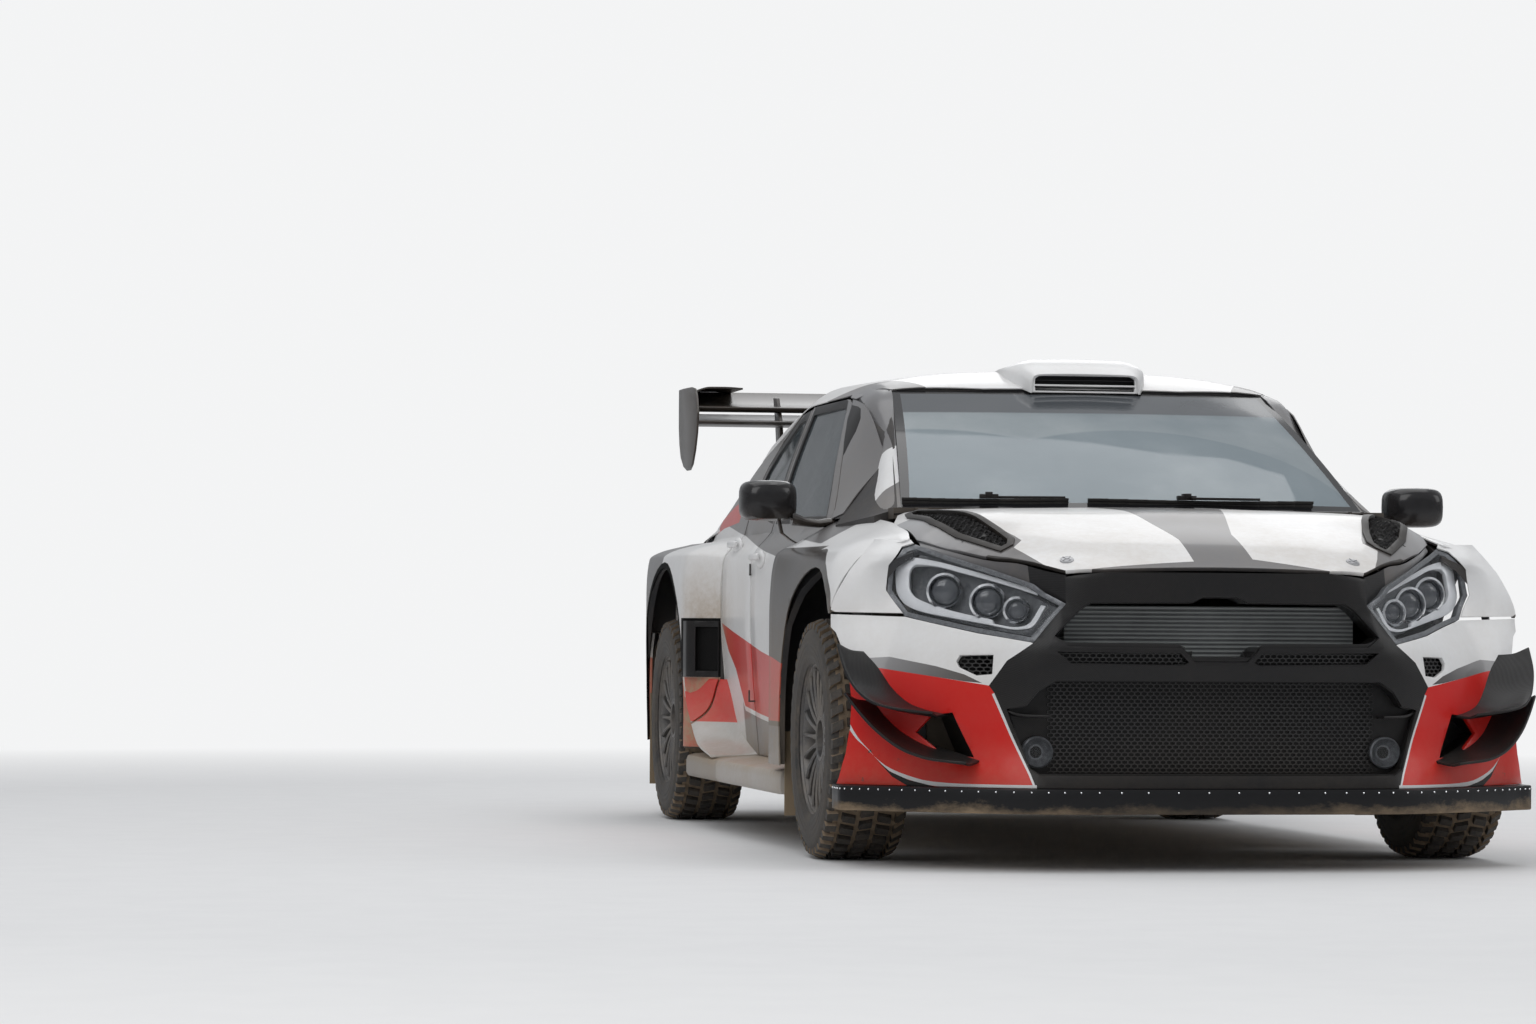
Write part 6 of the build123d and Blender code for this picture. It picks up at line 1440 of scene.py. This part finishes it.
# Rear wing: two composite planes between curved end plates, carried on two struts from the tailgate.
# Planes are (start behind the rear axle, height, chord, rise).
PLANES = mm(((432, 1350, 286, 64), (352, 1300, 246, 34)))
PLANE_HALF, PLANE_THICK, PLANE_STEPS = 0.770, 0.020, 14
END_PLATE = mm([(340, 1330), (365, 1385), (400, 1412), (470, 1420), (560, 1422), (660, 1423.5), (737, 1423),
    (738, 1360), (736, 1290), (720, 1235), (690, 1190), (630, 1158), (560, 1143), (500, 1143), (450, 1160),
    (400, 1205), (360, 1262)])
STRUT = mm([(392, 1060), (470, 1036), (480, 1160), (520, 1300), (560, 1392), (500, 1388), (440, 1312),
    (400, 1200)])
HOOP = mm([(775.5, 1330), (774.5, 1372), (764, 1400), (742, 1416), (712, 1422.5), (660, 1423), (600, 1420)])
wing_black = dusty(Finish("wing_black", Coat_Weight=0.3, Coat_Roughness=0.15), (0.012, 0.012, 0.014), 0.13, 0.3)
bm = bmesh.new()
for start, level, chord, rise in PLANES:
    top, low = [], []
    for k in range(PLANE_STEPS + 1):
        t = 0.5 - 0.5 * math.cos(math.pi * k / PLANE_STEPS)
        middle = level + rise * t ** 1.6 - 0.010 * math.sin(math.pi * t)
        body = PLANE_THICK * (2.9 * math.sqrt(t) - 1.3 * t - 3.4 * t * t + 1.9 * t ** 3) * 0.5 + 0.0015
        top.append((rear(start + chord * t), middle + body))
        low.append((rear(start + chord * t), middle - body))
    bridge(bm, [[bm.verts.new((u, y, z)) for y, z in top + low[:0:-1]] for u in (-PLANE_HALF, PLANE_HALF)])
planes = built("wing_planes", bm, [wing_black], sharp=50)
hoop_rows = [[(u, rear(r + 0.10 * (1.4235 - z) * lead), z) for u, z in HOOP]
             for r, lead in ((0.470, 3.0), (0.560, 1.0), (0.650, 0.0), (0.736, 0.0))]
for name, draw, towards, thick, soft in (
    ("wing_plate_left", lambda bm: plate(bm, [(0.776, rear(r), z) for r, z in END_PLATE]), (1, 0, 0), 0.008, 0.0025),
    ("wing_strut_left", lambda bm: plate(bm, [(0.482, rear(r), z) for r, z in STRUT]), (1, 0, 0), 0.012, 0.003),
    ("wing_hoop_left", lambda bm: sheet(bm, hoop_rows, 4, 4), (0.5, 0, 1), 0.006, 0.001),
):
    put_pair(built(name, drawn(draw), [wing_black], towards, thick, soft), "tail_lid")
put(planes, "tail_lid", "rear_wing")

# Sills: wide composite skirts under the doors and a swept fairing that leads out to the rear arch.
# Each fairing's front part is fixed to the rear door; its tip belongs to the arch. Mud lies on all of it.
# Rows are points (across, behind the front axle, up).
FAIRING_ROWS = mm((((936, 2140, 459), (872, 2045, 458), (826, 1970, 457)), ((935.5, 2105, 398),
    (862, 2000, 398), (821, 1905, 400)), ((934, 2010, 325), (850, 1930, 328), (814, 1842, 332)),
    ((932, 1890, 262), (840, 1820, 272), (808, 1720, 284)), ((929, 1640, 230), (840, 1590, 233),
    (804, 1520, 238))))
DOOR_PART = mm([(240, 200), (738, 200), (738, 500), (240, 500)])
ARCH_PART = mm([(748, 200), (1010, 200), (1010, 500), (748, 500)])
SKIRT = mm([(780, 236), (826, 232), (905, 224), (924, 218), (929, 204), (929, 166), (922, 154), (780, 153)])
SKIRT_RINGS = ((0.500, 0.010), (0.515, 0.0), (0.9, 0.0), (1.3, 0.0), (1.7, 0.0), (2.120, 0.0), (2.134, 0.008))
fairing_paint = Finish("fairing_paint", Coat_Weight=0.4, Coat_Roughness=0.15)
x, y, z = fairing_paint.axes()
tone = fairing_paint.mix((z - 0.326).step(), (0.50, 0.50, 0.49), RED)
fairing_material = dusty(fairing_paint, tone, (0.42 - z).clamp() * 1.6 + 0.25)
rows = [[(u, front(s), z) for u, s, z in row] for row in FAIRING_ROWS]
for name, outline, body in (("door_fairing", DOOR_PART, "rear_door_{}"), ("arch_fairing", ARCH_PART, "chassis")):
    bm = drawn(lambda bm: sheet(bm, rows, 6, 5), (outline, SIDE, "keep"))
    put_pair(built(name + "_left", bm, [fairing_material], (1, -1, 0), 0.006, 0.001), body)
skirt_paint = Finish("skirt_paint", Coat_Weight=0.2, Coat_Roughness=0.3)
x, y, z = skirt_paint.axes()
stain = skirt_paint.noise(5.0, 6.0, 0.7, stretch=(1.0, 0.4, 1.0))
tone = skirt_paint.mix((y - front(1.55)).step(0.02), (0.46, 0.46, 0.46), (0.22, 0.22, 0.225))
tone = skirt_paint.mix(stain * 0.6, tone, (0.30, 0.24, 0.17))
skirt_material = dusty(skirt_paint, tone, (z - 0.205).step(0.02) * 0.5 + 0.45, 0.45)
bm = bmesh.new()
bridge(bm, [[bm.verts.new((u - draw if u > 0.85 else u, front(s), z)) for u, z in SKIRT] for s, draw in SKIRT_RINGS])
put_pair(built("skirt_left", bm, [skirt_material], soft=0.002), "chassis", "side_skirts")

# Cooling duct at each rear arch's front: black moulding with a dark mouth facing forward.
# Its wall follows the door's edge inwards; a dark sheet inside closes it, painted shade for the duct's depth.
DUCT_LINE = mm(((939.5, 2165), (938.5, 2085), (926, 2066), (872, 2040), (848, 2010)))
DUCT_MOUTH = mm([(752, 482), (752, 620), (798, 620), (798, 482)])
DUCT_BACK = mm(((845, 800, 470), (930, 850, 470), (930, 850, 632), (845, 800, 632)))
walls = [[(u, front(s), z) for z in (0.464, 0.552, 0.638)] for u, s in DUCT_LINE]
bm = drawn(lambda bm: sheet(bm, walls, 4, 3), (DUCT_MOUTH, SIDE, "hole"))
put_pair(built("rear_duct_left", bm, [black_material], (1, -1, 0), 0.006, 0.001), "chassis")
# Dark sheet inside the duct: painted shade.
bm = drawn(lambda bm: plate(bm, DUCT_BACK))
put_pair(built("rear_duct_back_left", bm, [inner_material], (1, -1, 0), 0.004), "chassis")

# Inner structure, floor and mechanical parts: plain shapes carried over, each with its own finish.
# Finishes are (name, nodes, dark, light, grain scale, roughness, metallic, dirt, dirt's colour, bump).
INNER_FINISHES = (
    ("shell_inside", ("body_shell", "front_wing_left", "front_wing_right"), (0.02, 0.02, 0.022),
     (0.035, 0.035, 0.038), 90.0, 0.5),
    ("floor_sheet", ("floor_pan",), (0.06, 0.06, 0.062), (0.11, 0.11, 0.11), 40.0, 0.5, 0.3, 0.9),
    ("black_steel", ("front_cell", "rear_cell", "suspension_arms", "drivetrain"), (0.018, 0.018, 0.02),
     (0.04, 0.04, 0.042), 120.0, 0.42, 0.2, 0.5),
    ("cast_alloy", ("upright_front_left", "upright_front_right", "uprights_rear"), (0.20, 0.20, 0.205),
     (0.34, 0.34, 0.34), 80.0, 0.4, 0.8, 0.6),
    ("cast_block", ("engine_block",), (0.10, 0.10, 0.10), (0.17, 0.17, 0.165), 60.0, 0.5, 0.5, 0.5),
    ("flap_rubber", ("mud_flaps",), (0.05, 0.042, 0.034), (0.10, 0.08, 0.058), 30.0, 0.75, 0.0, 1.3,
     (0.25, 0.19, 0.125), 0.004),
    ("cage_tube", ("roll_cage",), (0.42, 0.43, 0.44), (0.50, 0.51, 0.52), 50.0, 0.35, 0.0, 0.1),
    ("seat_shell", ("seats",), (0.015, 0.015, 0.017), (0.035, 0.035, 0.04), 300.0, 0.4, 0.0, 0.1),
    ("dash_cloth", ("dashboard",), (0.018, 0.018, 0.02), (0.04, 0.04, 0.043), 220.0, 0.6, 0.0, 0.15),
    ("hot_steel", ("exhaust",), (0.16, 0.13, 0.11), (0.34, 0.30, 0.27), 25.0, 0.3, 1.0, 0.2),
)


def coated(name, nodes, dark, light, scale, rough, metallic=0.0, dirt=0.3, dirt_tint=DUST, bump=0.0015):
    """Finish with a fine grain and dirt that grows towards the ground, given to the named solids."""
    f = Finish(name, Metallic=metallic)
    x, y, z = f.axes()
    fine = f.noise(scale, 4.0, 0.65)
    cloudy = f.noise(4.0, 5.0)
    share = ((z * -1.6 + 0.9).clamp() * dirt + cloudy * dirt - 0.12).clamp()
    f.out(Base_Color=f.mix(share, f.mix(fine, dark, light), dirt_tint),
          Roughness=(fine * 0.2 + share * 0.3 + rough).clamp())
    f.bump(fine, 0.3, bump)
    finish_nodes(nodes, f.data)
    return f.data


def finish_nodes(nodes, material):
    for node in nodes:
        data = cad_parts[node].data
        data.materials.clear()
        data.materials.append(material)


inner_finishes = {row[0]: coated(*row) for row in INNER_FINISHES}
steel_material = inner_finishes["black_steel"]
core = Finish("radiator_core", Metallic=0.5)
x, y, z = core.axes()
fins = z.wave(560.0)
tubes = core.noise(26.0, 4.0)
core.out(Base_Color=core.mix(fins * 0.7 + tubes * 0.3, (0.05, 0.053, 0.055), (0.33, 0.345, 0.34)),
         Roughness=tubes * 0.3 + 0.4)
core.bump(fins, 0.6, 0.003)
finish_nodes(("radiator",), core.data)

# Seats: composite buckets with black cloth cushions on base, back and head wings, and a webbing harness.
# The cushions are foam in a sewn cover with stitched channels; the webbing lies flat on them.
# Webbing lines are (out from the seat's middle, behind the front axle, up).
SEAT_X = 0.330
SHOULDER_STRAP = mm(((55, 1475, 800), (60, 1392, 760), (66, 1318, 600), (50, 1262, 480), (30, 1235, 422)))
LAP_STRAP = mm(((185, 1275, 425), (120, 1238, 424), (30, 1222, 420)))
seat_cloth = Finish("seat_cloth", Roughness=0.85)
weave = seat_cloth.node("TexWave", {"Vector": seat_cloth.place, "Scale": 260.0, "Distortion": 1.5, "Detail": 1.0})
thread = Value(seat_cloth, weave.outputs["Fac"])
worn = seat_cloth.noise(11.0, 4.0)
seat_cloth.out(Base_Color=seat_cloth.mix(thread * 0.6 + worn * 0.4, (0.016, 0.016, 0.018), (0.060, 0.060, 0.066)))
seat_cloth.bump(thread, 0.5, 0.0012)
web_paint = Finish("harness_web", Roughness=0.6)
rib = web_paint.axes()[0].wave(900.0)
web_paint.out(Base_Color=web_paint.mix(rib, (0.26, 0.008, 0.008), (0.42, 0.016, 0.014)))
web_paint.bump(rib, 0.4, 0.0008)


def cushion(name, centre, along, across, length, width, thick, channels):
    """Closed crowned pad: two bulged sheets that meet in a seam, with stitched channels across its top."""
    along, across = Vector(along).normalized(), Vector(across).normalized()
    up = across.cross(along)
    bm = bmesh.new()
    for top in (True, False):
        for vert in bmesh.ops.create_grid(bm, x_segments=26, y_segments=26, size=1.0)["verts"]:
            u, v = vert.co.x, vert.co.y
            pull = 1.0 - 0.04 * (1.0 - abs(u) ** 2) * abs(v) ** 6 - 0.04 * (1.0 - abs(v) ** 2) * abs(u) ** 6
            pull *= 1.0 - 0.06 * abs(u * v) ** 4
            crown = (max(0.0, 1 - abs(u) ** 5) * max(0.0, 1 - abs(v) ** 5)) ** 0.55
            seam = sum(math.exp(-((u - c) / 0.035) ** 2) for c in channels)
            lift = crown * thick * (1.0 - 0.22 * seam) if top else -crown * thick * 0.12
            vert.co = Vector(centre) + along * u * pull * length / 2 + across * v * pull * width / 2 + up * lift
    return built(name, bm, [seat_cloth.data], sharp=80)


def strap(bm, line, width):
    """Flat webbing along a line of points."""
    side = Vector((width / 2, 0, 0))
    smooth = [Vector(p) for p in evenly(line, 5)]
    for a, b in zip(smooth, smooth[1:]):
        plate(bm, (a - side, a + side, b + side, b - side))


for sign, side in ((1, "left"), (-1, "right")):
    centre_x = sign * SEAT_X
    pads = [
        cushion(f"seat_base_pad_{side}", (centre_x, front(1.055), 0.364), (0, 0.995, -0.091), (1, 0, 0),
                0.40, 0.335, 0.042, (-0.45, 0.0, 0.45)),
        cushion(f"seat_back_pad_{side}", (centre_x, front(1.345), 0.588), (0, 0.289, 0.957), (1, 0, 0),
                0.440, 0.330, 0.040, (-0.6, -0.2, 0.2, 0.6)),
    ]
    for hand in (1, -1):
        place = "outer" if hand == sign else "inner"
        pads.append(cushion(f"seat_head_pad_{side}_{place}", (centre_x + hand * 0.150, front(1.415), 0.815),
                            (0, 0.30, 0.954), (0.55, -0.83 * hand, 0), 0.105, 0.080, 0.020, ()))
    for pad in pads:
        put(pad, "chassis")
    bm = bmesh.new()
    for hand in (1, -1):
        for line, width in ((SHOULDER_STRAP, 0.050), (LAP_STRAP, 0.044)):
            strap(bm, [(centre_x + hand * u, front(s), z) for u, s, z in line], width)
    bmesh.ops.remove_doubles(bm, verts=bm.verts, dist=0.0005)
    put(built(f"harness_{side}", bm, [web_paint.data], (0, -1, 0.3), 0.002), "chassis")
    bm = bmesh.new()
    peg(bm, 28, 0.030, 0.027, 0.016)
    peg(bm, 20, 0.016, 0.014, 0.026)
    pose(bm, bm.verts, turns=[("X", math.radians(38))], move=(centre_x, front(1.222), 0.430))
    put(built(f"harness_buckle_{side}", bm, [steel_material], soft=0.0015), "chassis")

# Steering wheel: suede covered ring with a pale mark at its top, on three spokes and a hub with six bolts.
# It stands square to its sloping column in front of the left seat.
WHEEL_TILT = [("X", math.radians(-66))]
WHEEL_PLACE = (SEAT_X, front(0.800), 0.790)
RING_RADIUS, RING_HALF, SPOKE_REACH = 0.165, 0.0158, 0.150
suede = Finish("wheel_suede", Roughness=0.95)
x, y, z = suede.axes()
nap = suede.noise(380.0, 3.0)
mark = (0.014 - (x - SEAT_X).size()).step() * (z - 0.86).step()
tone = suede.mix(nap, (0.018, 0.018, 0.019), (0.055, 0.054, 0.056))
suede.out(Base_Color=suede.mix(mark, tone, (0.55, 0.50, 0.10)))
suede.bump(nap, 0.4, 0.0008)
bm = bmesh.new()
ring = [(RING_RADIUS + RING_HALF * c, 0, RING_HALF * d) for c, d in around(14)]
lathe(bm, ring + ring[:1], (0, 0, 1), 64)
pose(bm, bm.verts, turns=WHEEL_TILT, move=WHEEL_PLACE)
put(built("steering_ring", bm, [suede.data]), "chassis")
bm = bmesh.new()
for angle in (0.0, math.pi, -math.pi / 2):
    spoke = block(bm, (SPOKE_REACH, 0.032, 0.018), (SPOKE_REACH / 2 + 0.004, 0, 0))
    pose(bm, spoke, turns=[("Z", angle)])
peg(bm, 32, 0.050, 0.044, 0.036)
for c, d in around(6):
    peg(bm, 12, 0.0065, 0.0055, 0.012, (0.034 * c, 0.034 * d, 0.022))
pose(bm, bm.verts, turns=WHEEL_TILT, move=WHEEL_PLACE)
put(built("steering_spokes", bm, [steel_material], soft=0.002), "chassis")

# Gear lever, switch panel and a blank round dial on the dashboard's middle.
# The switches stand in one row.
bm = bmesh.new()
peg(bm, 16, 0.010, 0.008, 0.30, (0.130, front(0.640), 0.640))
ball(bm, 20, 12, 0.022, move=(0.130, front(0.640), 0.800))
for k in range(6):
    peg(bm, 10, 0.004, 0.003, 0.022, (-0.105 + 0.036 * k, front(0.572), 0.850), [("X", math.radians(-70))])
peg(bm, 32, 0.045, 0.042, 0.016, (SEAT_X, front(0.566), 0.860), [("X", math.radians(-80))])
put(built("dash_controls", bm, [steel_material], soft=0.001), "chassis")
